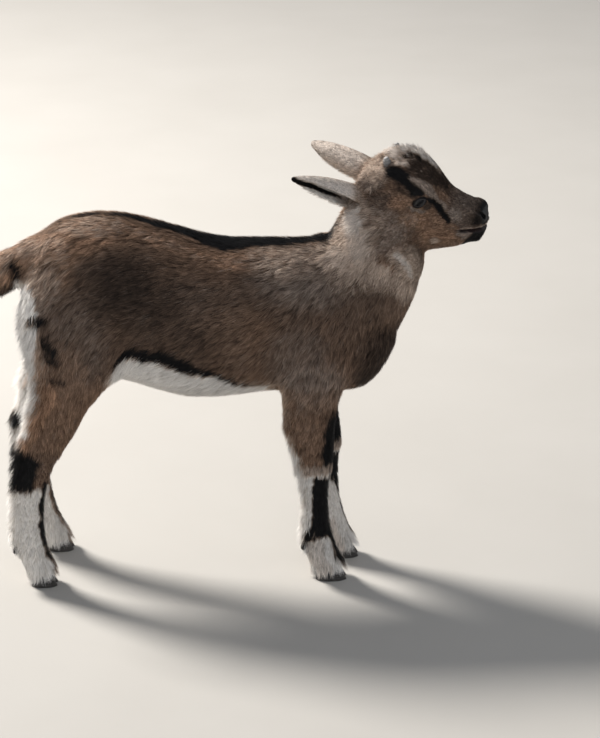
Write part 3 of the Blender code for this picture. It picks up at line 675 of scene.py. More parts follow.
def head_marks(where, marks):
    own = where.on("head", "lower_jaw")
    face = where.face + 0.0007 * ripple(where.points, 0.006, 31)[:, None]
    x, y, z = face.T
    over(marks, "frost", own * 0.34)
    over(marks, "warm", own * 0.56)
    over_patches(marks, own, face, CHEEK_PATCHES)

    over(marks, "dark", own * 0.58 * patch(face, (-0.002, 0.011, 0.026), (0.032, 0.0145, 0.015), 0.5))
    over(marks, "dark", own * 0.56 * stripe(face, ((0.006, 0.0, 0.020), (0.050, 0.0, 0.012)), 0.013, 0.008))
    crown = patch(face, (-0.0370, 0.0, 0.0320), (0.0200, 0.0200, 0.0145), 0.6)
    over(marks, "pale", own * 0.76 * crown)
    away, along = distance_to_path(face, PARTING)
    parting = fall(away, np.interp(along, (0.0, 0.33, 0.66, 1.0), (0.0085, 0.0050, 0.0030, 0.0018)), 0.0035)
    over(marks, "pale", own * 0.84 * parting * fall(along, 0.72, 0.4))
    specks = 0.5 + 0.5 * np.clip(ripple(where.points, 0.0032, 33), -1.0, 1.0)
    speckled = patch(face, (-0.0205, 0.0095, 0.0325), (0.0125, 0.0050, 0.0060), 0.7)
    over(marks, "dark", own * 0.95 * specks * speckled)
    crown_side = stripe(face, ((-0.0370, 0.0190, 0.0225), (-0.0240, 0.0160, 0.0275)), 0.0032, 0.004)
    over(marks, "pale", own * 0.76 * crown_side)
    over_patches(marks, own, face, POLL_PATCHES)

    over_patches(marks, own, face, TEMPLE_PATCHES)
    for streak in CROWN_STREAKS:
        over(marks, "pale", own * 0.42 * stripe(face, streak, 0.0009, 0.0016))
    band = tapering(face, BAND, (0.0, 0.4, 0.7, 1.0), (0.0070, 0.0070, 0.0056, 0.0038), 0.0078)
    over(marks, "dark", own * band)
    over(marks, "dark", own * 0.94 * patch(face, (-0.0050, 0.0288, 0.0108), (0.0088, 0.009, 0.0046), 0.6))

    muzzle = rise(x, 0.026, 0.020) * rise(z + 0.10 * x, -0.0100, 0.006)
    over(marks, "frost", own * 0.73 * muzzle)
    over(marks, "dark", own * 0.30 * muzzle)
    brow_widths = (0.0022, 0.0042, 0.0056, 0.0040, 0.0050)
    brow = tapering(face, BROW, (0.0, 0.2, 0.45, 0.75, 1.0), brow_widths, 0.0045)
    over(marks, "frost", own * 0.95 * brow)
    over(marks, "pale", own * 0.20 * brow)
    over(marks, "frost", own * 0.75 * patch(face, (0.0360, 0.0165, -0.0045), (0.0085, 0.0070, 0.0085), 0.8))
    over(marks, "dark", own * 0.72 * rise(x, 0.0520, 0.012) * rise(z - mouth_height(x), 0.005, 0.005))
    over(marks, "dark", own * tapering(face, TEAR, (0.0, 0.5, 1.0), (0.0021, 0.0037, 0.0026), 0.0040))
    over(marks, "dark", own * 0.80 * eye_ring(where))
    # Painted shade under the ear, on the rear of the cheek.
    over(marks, "dark", own * 0.30 * patch(face, (-0.037, 0.037, -0.009), (0.013, 0.012, 0.010), 0.9))

    over(marks, "pale", own * 0.46 * lip_edge(face))
    below = mouth_height(x) - mouth_gap(x)[1] - z
    # Painted highlight along the lower lip, in pale grey.
    over(marks, "frost", own * 0.72 * patch(face, (0.0500, 0.0150, -0.0210), (0.0090, 0.0080, 0.0065), 0.8))
    over(marks, "dark", own * 0.96 * rise(x + 0.35 * below, 0.0570, 0.005) * rise(below, -0.0010, 0.001))
    throat = patch(where.folded, (0.177, 0.023, 0.330), (0.015, 0.023, 0.026), 0.8)
    throat = where.on("neck", "lower_jaw", "head") * throat
    over(marks, "frost", 0.80 * throat)
    over(marks, "pale", 0.60 * throat)
    broad_streak = stripe(where.folded, THROAT_STREAK, 0.0068, 0.013)
    over(marks, "pale", 0.80 * where.on("neck", "lower_jaw") * broad_streak)
    fine_streak = stripe(where.folded, ((0.171, 0.026, 0.350), (0.178, 0.024, 0.326)), 0.0050, 0.008)
    over(marks, "pale", 0.84 * fine_streak * where.on("neck"))
    over(marks, "pale", own * 0.64 * patch(face, (0.0268, 0.0206, -0.0378), (0.0046, 0.0060, 0.0044), 0.8))
    nose = own * rise(x, 0.0555, 0.005) * rise(z, mouth_height(x) + 0.0035, 0.003) * fall(y, 0.0105, 0.004)
    over(marks, "dark", nose)
    marks["bare"] = np.maximum(marks["bare"], nose * rise(x, 0.0580, 0.004))


def eye_ring(where):
    """The dark edge round each eye."""
    ring = np.zeros(len(where.points))
    for side in SIDES:
        at = in_frame(where.points, EYES[side])
        near = rise(at[:, 2], 0.003, 0.002) * fall(np.linalg.norm(at, axis=1), EYE_REACH, 0.002)
        along = at[:, 0] / (OPENING_HALF + 0.0018)
        up = np.where(at[:, 1] > 0, at[:, 1] / (OPENING_RISE + 0.0016), -at[:, 1] / (OPENING_DROP + 0.0013))
        ring = np.maximum(ring, near * fall(np.hypot(along, up), 1.0, 0.25))
    return ring


MOUTH_FRONT = (0.072, -0.0060)
MOUTH_SLOPE = 0.4593
MOUTH_CORNER = 0.043


def mouth_height(x):
    """Height of the slit between the lips, in the head's frame."""
    return MOUTH_FRONT[1] + (x - MOUTH_FRONT[0]) * MOUTH_SLOPE


def mouth_gap(x):
    """How far the lips stand apart, above and below the line of the mouth: a little open at the front."""
    above = np.interp(x, (MOUTH_CORNER, 0.064), (0.0004, 0.0012))
    below = np.interp(x, (MOUTH_CORNER, 0.048, 0.064), (0.0008, 0.0024, 0.0046))
    return above, below


def in_mouth(x, z, margin, blur):
    """1 between the lips."""
    above, below = mouth_gap(x)
    apart = z - mouth_height(x)
    inside = rise(x, MOUTH_CORNER + 0.001, 0.004)
    return inside * fall(apart, above + margin, blur) * rise(apart, -below - margin, blur)


def lip_edge(face):
    x, _, z = face.T
    above = z - mouth_height(x)
    return rise(x, 0.044, 0.006) * rise(above, 0.0004, 0.001) * fall(above, 0.0034, 0.002)


def ear_place(where, side):
    """Share from root (0) to tip (1), places in the ear's own frame, and the way its cup faces.

    The frame's X runs to the tip, Y across the ear to its upper edge and Z out of its cup.
    """
    root, tip, opening = (np.array(table[side]) for table in (EAR_ROOT, EAR_TIP, EAR_OPENING))
    reach = np.linalg.norm(tip - root)
    way = (tip - root) / reach
    cup = unit(opening - way * (opening @ way))
    across = -SIDES[side] * np.cross(way, cup)
    from_root = where.head - root
    places = from_root @ np.stack([way, across, cup], axis=1)
    return places[:, 0] / reach, places, cup


def ear_marks(where, normals, marks):
    facing = normals @ HEAD_WAYS
    for side in SIDES:
        own = where.on("ear_" + side)
        along, places, cup = ear_place(where, side)
        inside = rise(facing @ cup, -0.2, 0.4)
        specks = rise(ripple(where.points, 0.005, 41), 0.50, 0.6)
        over(marks, "warm", own * 0.50 * fall(along, 0.32, 0.3))
        over(marks, "frost", own * 0.90 * rise(along, 0.05, 0.2))
        over(marks, "pale", own * (0.78 if side == "right" else 0.73) * rise(along, 0.14, 0.4))
        lower_rim = own * (0.88 if side == "right" else 0.72) * fall(places[:, 1], -0.0050, 0.004)
        over(marks, "pale", lower_rim * rise(along, 0.26, 0.30))
        if side == "left":
            over(marks, "dark", own * 0.30 * inside * specks * fall(np.abs(along - 0.45), 0.30, 0.2))
            continue
        # Painted shadow along the narrow opening of the rolled right ear.
        away, share = distance_to_path(places, EAR_SLIT_SHADOW)
        half = np.interp(share, (0.0, 0.3, 0.6, 0.85, 1.0), (0.0028, 0.0023, 0.0021, 0.0016, 0.0009))
        over(marks, "dark", own * 0.96 * fall(away, half, 0.0010) * fall(share, 0.92, 0.24))
        over(marks, "dark", own * 0.80 * rise(along, 0.955, 0.03))


def markings(where, normals):
    """Every marking at every point, from 0 to 1: skin and coat both take them from here."""
    marks = blank(where)
    over(marks, "frost", 0.12 + 0.10 * np.clip(ripple(where.points, 0.045, 5), -1.0, 1.0))
    over(marks, "warm", 0.16 + 0.12 * np.clip(ripple(where.points, 0.06, 6), -1.0, 1.0))
    trunk_marks(where, normals, marks)
    leg_marks(where, marks)
    rump_marks(where, marks)
    tail_marks(where, normals, marks)
    head_marks(where, marks)
    ear_marks(where, normals, marks)
    return marks


def marks_colour(marks):
    return np.stack([marks["dark"], marks["pale"], marks["warm"], marks["frost"]], axis=1)


# ---------------------------------------------------------------- the lie, length and depth of the coat

# Which way the hair lies, at places on the body's left half: place, direction.
BODY_LIE = (
    ((0.070, 0.015, 0.352), (-1.00, 0.20, -0.15)),
    ((0.125, 0.010, 0.390), (-0.80, 0.15, -0.60)),
    ((0.155, 0.030, 0.370), (-0.60, 0.05, -0.80)),
    ((0.130, 0.042, 0.310), (-0.50, 0.05, -0.85)),
    ((0.185, 0.000, 0.330), (-0.35, 0.00, -0.95)),
    ((0.165, 0.010, 0.270), (-0.35, 0.00, -0.95)),
    ((0.140, 0.020, 0.215), (-0.70, 0.00, -0.70)),
    ((0.090, 0.050, 0.280), (-0.50, 0.00, -0.87)),
    ((0.060, 0.048, 0.320), (-0.85, 0.05, -0.50)),
    ((0.085, 0.050, 0.220), (-0.30, 0.00, -0.95)),
    ((0.000, 0.015, 0.356), (-1.00, 0.25, -0.05)),
    ((-0.070, 0.015, 0.372), (-1.00, 0.30, 0.05)),
    ((-0.130, 0.020, 0.384), (-0.95, 0.30, -0.05)),
    ((-0.175, 0.030, 0.355), (-0.80, 0.15, -0.60)),
    ((0.000, 0.060, 0.300), (-0.92, 0.00, -0.40)),
    ((0.000, 0.055, 0.235), (-0.85, -0.05, -0.52)),
    ((-0.060, 0.056, 0.310), (-0.95, 0.00, -0.30)),
    ((-0.070, 0.055, 0.260), (-0.80, 0.00, -0.60)),
    ((-0.100, 0.052, 0.300), (-0.95, 0.00, 0.05)),
    ((-0.105, 0.052, 0.250), (-0.45, 0.00, -0.90)),
    ((0.000, 0.010, 0.195), (-1.00, 0.00, 0.00)),
    ((-0.080, 0.010, 0.208), (-1.00, 0.00, -0.10)),
    ((-0.140, 0.050, 0.335), (-0.85, 0.05, -0.45)),
    ((-0.160, 0.056, 0.285), (-0.45, 0.00, -0.90)),
    ((-0.185, 0.045, 0.310), (-0.35, 0.00, -0.95)),
    ((-0.200, 0.020, 0.290), (0.00, 0.10, -1.00)),
    ((-0.160, 0.056, 0.235), (-0.15, 0.00, -0.98)),
    ((-0.120, 0.055, 0.225), (-0.30, 0.00, -0.95)),
)
# The same for the head, in its own frame.
HEAD_LIE = (
    ((0.055, 0.004, 0.011), (-1.00, 0.10, 0.10)),
    ((0.030, 0.003, 0.014), (-1.00, 0.20, 0.10)),
    ((0.010, 0.004, 0.022), (-0.85, 0.25, 0.45)),
    ((-0.010, 0.006, 0.036), (-0.90, 0.30, 0.20)),
    ((-0.030, 0.004, 0.039), (-0.80, 0.25, 0.20)),
    ((-0.055, 0.010, 0.020), (-0.85, 0.20, -0.45)),
    ((0.000, 0.022, 0.014), (-0.90, 0.20, 0.35)),
    ((-0.030, 0.028, 0.002), (-0.97, 0.10, -0.15)),
    ((0.005, 0.028, -0.018), (-0.90, 0.10, -0.40)),
    ((-0.020, 0.031, -0.034), (-0.75, 0.05, -0.65)),
    ((0.045, 0.017, 0.000), (-0.97, 0.15, -0.10)),
    ((0.058, 0.012, -0.006), (-0.60, 0.15, -0.75)),
    ((0.055, 0.008, -0.028), (-0.75, 0.10, -0.65)),
    ((0.025, 0.018, -0.038), (-0.95, 0.05, -0.30)),
    ((0.000, 0.005, -0.072), (-0.85, 0.05, -0.50)),
)
TAIL_LINE = (-0.90, 0.0, -0.42)


def lie_from(table, points, side, reach):
    """The direction at each point, mixed from the places of the table that are nearest to it."""
    total = np.zeros_like(points)
    for place, way in table:
        near = np.exp(-(((points - np.array(place)) ** 2).sum(1)) / (2 * reach * reach)) + 1e-9
        total += near[:, None] * np.array(way) / np.linalg.norm(way)
    total[:, 1] *= side
    return unit(total)


def lie_of_coat(where, normals, edges):
    """The way the hair lies at every corner of the skin, flat along it."""
    lie = lie_from(BODY_LIE, where.folded, where.side, 0.022)
    head = where.on("head", "lower_jaw")[:, None]
    on_head = lie_from(HEAD_LIE, where.face, where.face_side, 0.010) @ HEAD_WAYS.T
    lie = lie * (1 - head) + on_head * head
    legs = where.on("forearm", "cannon", "pastern", "shank")[:, None]
    down = np.array((-0.16, 0.0, -1.0)) + 0.10 * np.array((1.0, 0.0, 0.0)) * where.on("pastern")[:, None]
    lie = lie * (1 - legs) + down * legs
    for side in SIDES:
        ear = where.on("ear_" + side)[:, None]
        way = np.array(EAR_TIP[side]) - np.array(EAR_ROOT[side])
        way = HEAD_WAYS @ unit(way)
        lie = lie * (1 - ear) + way * ear
    tail = where.on("tail")[:, None]
    brush = np.array(TAIL_LINE) + 0.30 * normals + np.array((0.0, 0.0, -0.55))
    lie = lie * (1 - tail) + brush * tail
    lie = smoothed(unit(lie), edges, 30)
    lie -= normals * (lie * normals).sum(1, keepdims=True)
    return unit(lie)


# Depth of the coat, length and breadth of a lock, on the parts that differ from the trunk.
COAT_SIZES = (
    (("neck",), 0.0046, 0.0130, 0.00050),
    (("head",), 0.0010, 0.0036, 0.00034),
    (("lower_jaw",), 0.0013, 0.0046, 0.00036),
    (("ear_",), 0.00055, 0.0042, 0.00034),
    (("tail",), 0.0050, 0.0230, 0.00054),
    (("thigh",), 0.0046, 0.0130, 0.00046),
    (("shank",), 0.0036, 0.0105, 0.00044),
    (("forearm",), 0.0030, 0.0090, 0.00042),
    (("cannon",), 0.0017, 0.0056, 0.00037),
    (("pastern",), 0.0018, 0.0068, 0.00040),
)


def grow(sizes, amount, **changes):
    for name, change in changes.items():
        sizes[name] += amount * change


def coat_sizes(where, normals, edges):
    """Five rows for the corners of the skin.

    They are the depth of the coat, the length and breadth of a lock, its loft, which is how far its tip rises
    beyond the depth, and how far it strays from the lie, in radians.
    """
    start = {"depth": 0.0042, "length": 0.0125, "breadth": 0.00046, "loft": 0.0002, "stray": 0.11}
    sizes = {name: np.full(len(where.points), value) for name, value in start.items()}
    for words, deep, long, broad in COAT_SIZES:
        own = where.on(*words) > 0.5
        sizes["depth"][own] = deep
        sizes["length"][own] = long
        sizes["breadth"][own] = broad
    face = where.face
    own = where.on("head", "lower_jaw")
    crown = own * patch(face, (-0.034, 0.000, 0.034), (0.024, 0.024, 0.017), 0.8)
    poll = own * patch(face, (-0.050, 0.018, 0.008), (0.016, 0.024, 0.022), 0.8)
    parting = own * stripe(face, PARTING, 0.006, 0.006)
    sizes["depth"] += crown * 0.0012
    sizes["length"] += crown * 0.0048 + poll * 0.0050
    sizes["loft"] += crown * 0.0026 + poll * 0.0030 + parting * 0.0009
    sizes["stray"] += crown * 0.26 + poll * 0.52 + parting * 0.08
    for side in SIDES:
        horn = np.linalg.norm(where.points - np.array(middle_of("horn_bud_" + side)), axis=1)
        beside_horn = own * fall(horn, 0.010, 0.006)
        sizes["loft"] *= 1 - 0.6 * beside_horn
        sizes["stray"] *= 1 - 0.6 * beside_horn
    throat = own * rise(-face[:, 0] - 0.6 * face[:, 2], 0.044, 0.02)
    grow(sizes, throat, depth=0.0016, length=0.0050, loft=0.0006, stray=0.10)
    grow(sizes, own * rise(face[:, 0], 0.034, 0.02), depth=-0.00035, length=-0.0014)
    for side in SIDES:
        at = np.linalg.norm(in_frame(where.points, EYES[side]), axis=1)
        near = own * fall(at, 0.0140, 0.004)
        sizes["depth"] = sizes["depth"] * (1 - near) + 0.00045 * near
        sizes["length"] = sizes["length"] * (1 - near) + 0.0020 * near
        sizes["loft"] *= 1 - near
        root = np.linalg.norm(where.head - np.array(EAR_ROOT[side]), axis=1)
        tuft = where.on("ear_", "head") * fall(root, 0.014, 0.012)
        grow(sizes, tuft, length=0.0050, loft=0.0012, stray=0.25)
        across = ear_place(where, side)[1][:, 1]
        grow(sizes, where.on("ear_" + side) * fall(across, -0.0080, 0.003), loft=0.0022)
    grow(sizes, where.on("neck", "head") * stripe(face, EAR_FOOT, 0.003, 0.004), loft=0.0022)
    x, _, z = where.folded.T
    belly = where.on("trunk") * fall(z, np.interp(x, BELLY_X, BELLY_EDGE), 0.02)
    grow(sizes, belly, depth=0.0008, length=0.0035, loft=0.0008, stray=0.08)
    neck = where.on("neck", "trunk")
    nape = patch(where.folded, (0.125, 0.0, 0.385), (0.03, 0.03, 0.03), 0.8)
    grow(sizes, neck * nape, loft=0.0016, stray=0.12)
    curly = neck * patch(where.folded, (0.125, 0.028, 0.345), (0.040, 0.035, 0.050), 0.8)
    grow(sizes, curly, loft=0.0010, stray=0.16)
    rear = rise(-normals[:, 0], 0.45, 0.5)
    hind = where.on("thigh", "shank", "trunk") * rear * fall(x, -0.13, 0.03)
    fringe_loft = 0.0016 + 0.0068 * rise(z, 0.180, 0.03) * fall(z, 0.300, 0.03)
    grow(sizes, hind, length=0.0080, loft=fringe_loft, stray=0.10)
    grow(sizes, where.on("forearm", "cannon", "shank", "pastern"), stray=-0.03)
    fringe = where.on("forearm", "cannon") * rear * rise(z, 0.040, 0.02) * fall(z, 0.190, 0.03)
    grow(sizes, fringe, length=0.0070, loft=0.0046, stray=0.14)
    grow(sizes, where.on("pastern") * fall(z, 0.036, 0.014), length=0.0060, loft=0.0010)
    grow(sizes, where.on("tail"), loft=0.0018, stray=0.10)
    sole = fall(where.body[:, 2], 0.022, 0.004) * rise(-normals[:, 2], 0.6, 0.3)
    sizes["depth"] *= 1.0 - 0.9 * sole
    return smoothed(np.stack(list(sizes.values()), axis=1), edges, 10).T


# ---------------------------------------------------------------- the skin

CAD_GAP_CLOSED = 0.00024
SAME_PLACE = 1e-6
SOCKET_FILL = 0.86  # share of a horn bud or dewclaw that the skin fills behind it
SKIN_VOXEL = 0.00130
SKIN_TRIANGLES = 188000


SMOOTHING_ROUNDS = 4


def add_ball(shape, place, radius):
    made = bmesh.ops.create_icosphere(shape, subdivisions=4, radius=1.0)
    turn = place @ Matrix.Diagonal((radius, radius, radius, 1.0))
    bmesh.ops.transform(shape, matrix=turn, verts=made["verts"])


def flesh_shape():
    """All flesh parts as one set of closed shells that overlap a little, with the sockets filled."""
    shape = bmesh.new()
    for name in FLESH:
        shape.from_mesh(frame["nodes"][name].data)
    bmesh.ops.remove_doubles(shape, verts=shape.verts[:], dist=SAME_PLACE)
    bmesh.ops.recalc_face_normals(shape, faces=shape.faces[:])
    shape.normal_update()
    for corner in shape.verts:
        corner.co += corner.normal * CAD_GAP_CLOSED
    for name, node in frame["nodes"].items():
        if name.startswith(("horn_bud_", "dewclaw_")):
            fill = bmesh.new()
            fill.from_mesh(node.data)
            bmesh.ops.remove_doubles(fill, verts=fill.verts[:], dist=SAME_PLACE)
            middle = middle_of(name)
            for corner in fill.verts:
                corner.co = middle + (corner.co - middle) * SOCKET_FILL
            copy = bpy.data.meshes.new("fill")
            fill.to_mesh(copy)
            fill.free()
            shape.from_mesh(copy)
            bpy.data.meshes.remove(copy)
    for side in SIDES:
        add_ball(shape, EYES[side], LID_RADIUS + 0.0006)
    return shape


def fused_skin():
    """The flesh as one closed mesh without gaps, out to the tips of the coat."""
    shape = flesh_shape()
    mesh = bpy.data.meshes.new("skin")
    shape.to_mesh(mesh)
    shape.free()
    skin = new_piece("skin", mesh)
    fuse = skin.modifiers.new("fuse", "REMESH")
    fuse.mode = "VOXEL"
    fuse.voxel_size = SKIN_VOXEL
    shaped(skin)
    return skin


def refine_face(skin):
    """Twice as many corners round the eyes, and on the muzzle and lips."""
    shape = bmesh.new()
    shape.from_mesh(skin.data)
    shape.verts.ensure_lookup_table()
    points = corners_of(skin.data)
    head = in_frame(points, HEAD)
    fine = (head[:, 0] > 0.030) & (np.abs(head[:, 1]) < 0.03) & (head[:, 2] > -0.045) & (head[:, 2] < 0.03)
    for side in SIDES:
        fine |= np.linalg.norm(in_frame(points, EYES[side]), axis=1) < 0.0165
    edges = [edge for edge in shape.edges if fine[edge.verts[0].index] and fine[edge.verts[1].index]]
    bmesh.ops.subdivide_edges(shape, edges=edges, cuts=1, use_grid_fill=True)
    shape.to_mesh(skin.data)
    shape.free()
    skin.data.update()


def draw_in(skin, finder):
    """Moves the skin in from the tips of the coat to its roots."""
    mesh = skin.data
    edges = edges_of(mesh)
    points = smoothed(corners_of(mesh), edges, SMOOTHING_ROUNDS)
    move_corners(mesh, points)
    normals = unit(smoothed(normals_of(mesh), edges, SMOOTHING_ROUNDS))
    where = Body(points, nearest_parts(points, finder))
    depth = coat_sizes(where, normals, edges)[0]
    points = points - normals * depth[:, None]
    points = smoothed(points, edges, 2)
    move_corners(mesh, points)


def open_eyes(points):
    """Cuts the almond between the lids into the skin, with a fold above the upper lid."""
    for side in SIDES:
        at = in_frame(points, EYES[side])
        away = np.linalg.norm(at, axis=1)
        near = (away < EYE_REACH) & (at[:, 2] > 0.002)
        x, y = at[:, 0], at[:, 1]
        way = unit(at)
        lid = near & (away > LID_RADIUS - 0.0008)
        fold = np.exp(-(((y - upper_lid(x) - 0.0030) / 0.0010) ** 2)) * fall(np.abs(x), 0.0080, 0.003) * lid
        pouch = np.exp(-(((y - lower_lid(x) + 0.0030) / 0.0010) ** 2)) * fall(np.abs(x), 0.0070, 0.003) * lid
        at = at - way * (0.0007 * fold + 0.0004 * pouch)[:, None]
        open_here = near & (np.abs(x) < OPENING_HALF) & (y < upper_lid(x)) & (y > lower_lid(x))
        at[open_here] = way[open_here] * (EYE_RADIUS - 0.0012)
        points = np.where(near[:, None], out_of_frame(at, EYES[side]), points)
    return points


NOSTRIL = (
    (0.0618, 0.0068, -0.0004),
    (0.0598, 0.0102, 0.0030),
    (0.0552, 0.0128, 0.0060),
    (0.0502, 0.0140, 0.0076),
)


def shape_muzzle(points):
    """Presses the nostrils, the slit of the mouth, the lips and the groove under the nose into the skin."""
    head = in_frame(points, HEAD)
    face, side = mirrored(head)
    x, y, z = face.T
    away, along = distance_to_path(face, NOSTRIL)
    width = 0.0017 - 0.0008 * along
    pit = fall(away, width, 0.0012)
    inward = unit(np.array((-0.62, -0.75, -0.20)))
    face = face + inward * (pit * (0.0042 - 0.0024 * along))[:, None]
    rim = np.exp(-(((away - width - 0.0012) / 0.0009) ** 2))
    face = face - inward * (rim * 0.00045)[:, None]

    apart = z - mouth_height(x)
    above, below = mouth_gap(x)
    inside = rise(x, MOUTH_CORNER, 0.006)
    slit = in_mouth(x, z, 0.0001, 0.0009)
    heart = np.stack([x - 0.014, np.zeros_like(y), mouth_height(x)], axis=1)
    face = face + unit(heart - face) * (slit * np.interp(x, (0.036, 0.060), (0.0018, 0.0072)))[:, None]
    edge = np.where(apart > 0, apart - above, -apart - below)
    lips = inside * np.exp(-(((edge - 0.0017) / 0.0011) ** 2))
    face = face - unit(heart - face) * (lips * 0.00055)[:, None]

    groove = np.exp(-((y / 0.0009) ** 2)) * rise(x, 0.058, 0.004)
    groove = groove * rise(apart, 0.001, 0.002) * fall(z, 0.001, 0.004)
    face = face - np.array((1.0, 0.0, 0.2)) * (groove * 0.0009)[:, None]
    face[:, 1] *= side
    near = (head[:, 0] > 0.028) & (np.abs(head[:, 1]) < 0.03) & (head[:, 2] > -0.05)
    return np.where(near[:, None], out_of_frame(face, HEAD), points)


def thin_skin(skin):
    """Fewer triangles away from the face."""
    points = corners_of(skin.data)
    head = in_frame(points, HEAD)
    face = (head[:, 0] > -0.035) & (np.abs(head[:, 1]) < 0.045) & (head[:, 2] > -0.06)
    keep = skin.vertex_groups.new(name="body")
    keep.add(np.nonzero(~face)[0].tolist(), 1.0, "REPLACE")
    triangles = sum(len(polygon.vertices) - 2 for polygon in skin.data.polygons)
    if triangles > SKIN_TRIANGLES:
        thin = skin.modifiers.new("thin", "DECIMATE")
        thin.ratio = SKIN_TRIANGLES / triangles
        thin.vertex_group = "body"
        thin.use_collapse_triangulate = True
    shaped(skin)


def unwrap(piece):
    """A map for the coat's colours, laid out from the skin's own shape."""
    layer = piece.data.uv_layers.new(name="OFBake")
    piece.data.uv_layers.active = layer
    bpy.ops.object.select_all(action="DESELECT")
    piece.select_set(True)
    bpy.context.view_layer.objects.active = piece
    bpy.ops.object.mode_set(mode="EDIT")
    bpy.ops.mesh.select_all(action="SELECT")
    bpy.ops.uv.smart_project(angle_limit=math.radians(66), island_margin=0.002)
    bpy.ops.object.mode_set(mode="OBJECT")


def make_skin(finder):
    skin = fused_skin()
    draw_in(skin, finder)
    refine_face(skin)
    points = corners_of(skin.data)
    points = open_eyes(points)
    points = shape_muzzle(points)
    move_corners(skin.data, points)
    thin_skin(skin)
    unwrap(skin)
    skin.data.shade_smooth()
    return skin


# ---------------------------------------------------------------- locks of hair


class Ground:
    """All that the locks need to know of the skin under them."""

    def __init__(self, skin, finder):
        mesh = skin.data
        mesh.calc_loop_triangles()
        triangles = np.empty(len(mesh.loop_triangles) * 3, np.int32)
        mesh.loop_triangles.foreach_get("vertices", triangles)
        loops = np.empty(len(mesh.loop_triangles) * 3, np.int32)
        mesh.loop_triangles.foreach_get("loops", loops)
        chart = np.empty(len(mesh.loops) * 2, np.float32)
        mesh.uv_layers["OFBake"].data.foreach_get("uv", chart)
        self.triangles = triangles.reshape(-1, 3)
        self.charts = chart.reshape(-1, 2)[loops.reshape(-1, 3)]
        self.points = corners_of(mesh)
        edges = edges_of(mesh)
        self.normals = unit(smoothed(normals_of(mesh), edges, 3))
        self.part = nearest_parts(self.points, finder)
        self.where = Body(self.points, self.part)
        self.lie = lie_of_coat(self.where, self.normals, edges)
        self.sizes = coat_sizes(self.where, self.normals, edges)
        self.bald = self.bald_places()
        self.marks = markings(self.where, self.normals)
        a, b, c = (self.points[self.triangles[:, k]] for k in range(3))
        self.area = 0.5 * np.linalg.norm(np.cross(b - a, c - a), axis=1)
        faces = [tuple(face) for face in self.triangles.tolist()]
        self.tree = BVHTree.FromPolygons([tuple(point) for point in self.points.tolist()], faces)

    def bald_places(self):
        """1 where no hair grows: in the eyes, nostrils and mouth, on the nose and under the feet."""
        bald = np.zeros(len(self.points))
        for side in SIDES:
            at = in_frame(self.points, EYES[side])
            x, y = at[:, 0], at[:, 1]
            near = (np.linalg.norm(at, axis=1) < EYE_REACH) & (at[:, 2] > 0.002)
            inside = (y < upper_lid(x) + 0.0009) & (y > lower_lid(x) - 0.0009)
            bald[near & inside & (np.abs(x) < OPENING_HALF + 0.0008)] = 1.0
        face = self.where.face
        own = self.where.on("head", "lower_jaw")
        away, along = distance_to_path(face, NOSTRIL)
        bald = np.maximum(bald, own * (away < 0.0030 - 0.0012 * along))
        x, y, z = face.T
        bald = np.maximum(bald, own * (in_mouth(x, z, 0.0009, 0.0002) > 0.5))
        nose = (x > 0.0590) & (z > mouth_height(x) + 0.004) & (y < 0.010)
        bald = np.maximum(bald, own * nose)
        sole = (self.where.body[:, 2] < 0.020) & (self.normals[:, 2] < -0.72)
        return np.maximum(bald, sole)


def spot_of(ground, count, chosen, random):
    """Roots for the locks, spread evenly by area over the chosen triangles."""
    bald = ground.bald[ground.triangles].max(1) > 0.5
    weight = ground.area * chosen * ~bald
    _, length, breadth, _, _ = ground.sizes
    weight = weight / breadth[ground.triangles].mean(1) / length[ground.triangles].mean(1) ** 0.5
    total = np.cumsum(weight)
    picks = np.searchsorted(total, random.random(count) * total[-1])
    first = np.sqrt(random.random(count))
    second = random.random(count)
    shares = np.stack([1 - first, first * (1 - second), first * second], axis=1)
    return picks, shares


def mixed(values, triangles, shares):
    """Values at the corners of triangles, mixed to the places that the shares give."""
    rows = values[triangles]
    if rows.ndim == 2:
        return (rows * shares).sum(1)
    return (rows * shares[:, :, None]).sum(1)


def turned(vectors, axes, angles):
    """Each vector turned about its own axis, which it is square to."""
    return vectors * np.cos(angles)[:, None] + np.cross(axes, vectors) * np.sin(angles)[:, None]


def on_ground(ground, points, heights):
    """The points moved to that height above the skin."""
    placed = np.empty_like(points)
    find = ground.tree.find_nearest
    for index, point in enumerate(points):
        spot, normal, _, _ = find(Vector(point))
        placed[index] = spot + normal * heights[index]
    return placed


def bend(root, middle, tip, t):
    """A point at share t of the curve that leaves the root, passes the middle and ends at the tip."""
    return root * (1 - t) * (1 - 2 * t) + middle * 4 * t * (1 - t) + tip * t * (2 * t - 1)


def clumps(roots, every, random):
    """For each root, the root of the clump that it belongs to."""
    count = max(len(roots) // every, 1)
    leaders = random.choice(len(roots), count, replace=False)
    tree = KDTree(count)
    for index, leader in enumerate(leaders):
        tree.insert(roots[leader], index)
    tree.balance()
    return leaders[[tree.find(root)[1] for root in roots]]


LOCK_STEPS = 2
CHART_HALF = 0.0015  # half the breadth of a lock's place on the map
LOWEST_HAIR = 0.0009  # above the floor
ROOT_DEPTH = 0.0002  # of a lock, under the skin


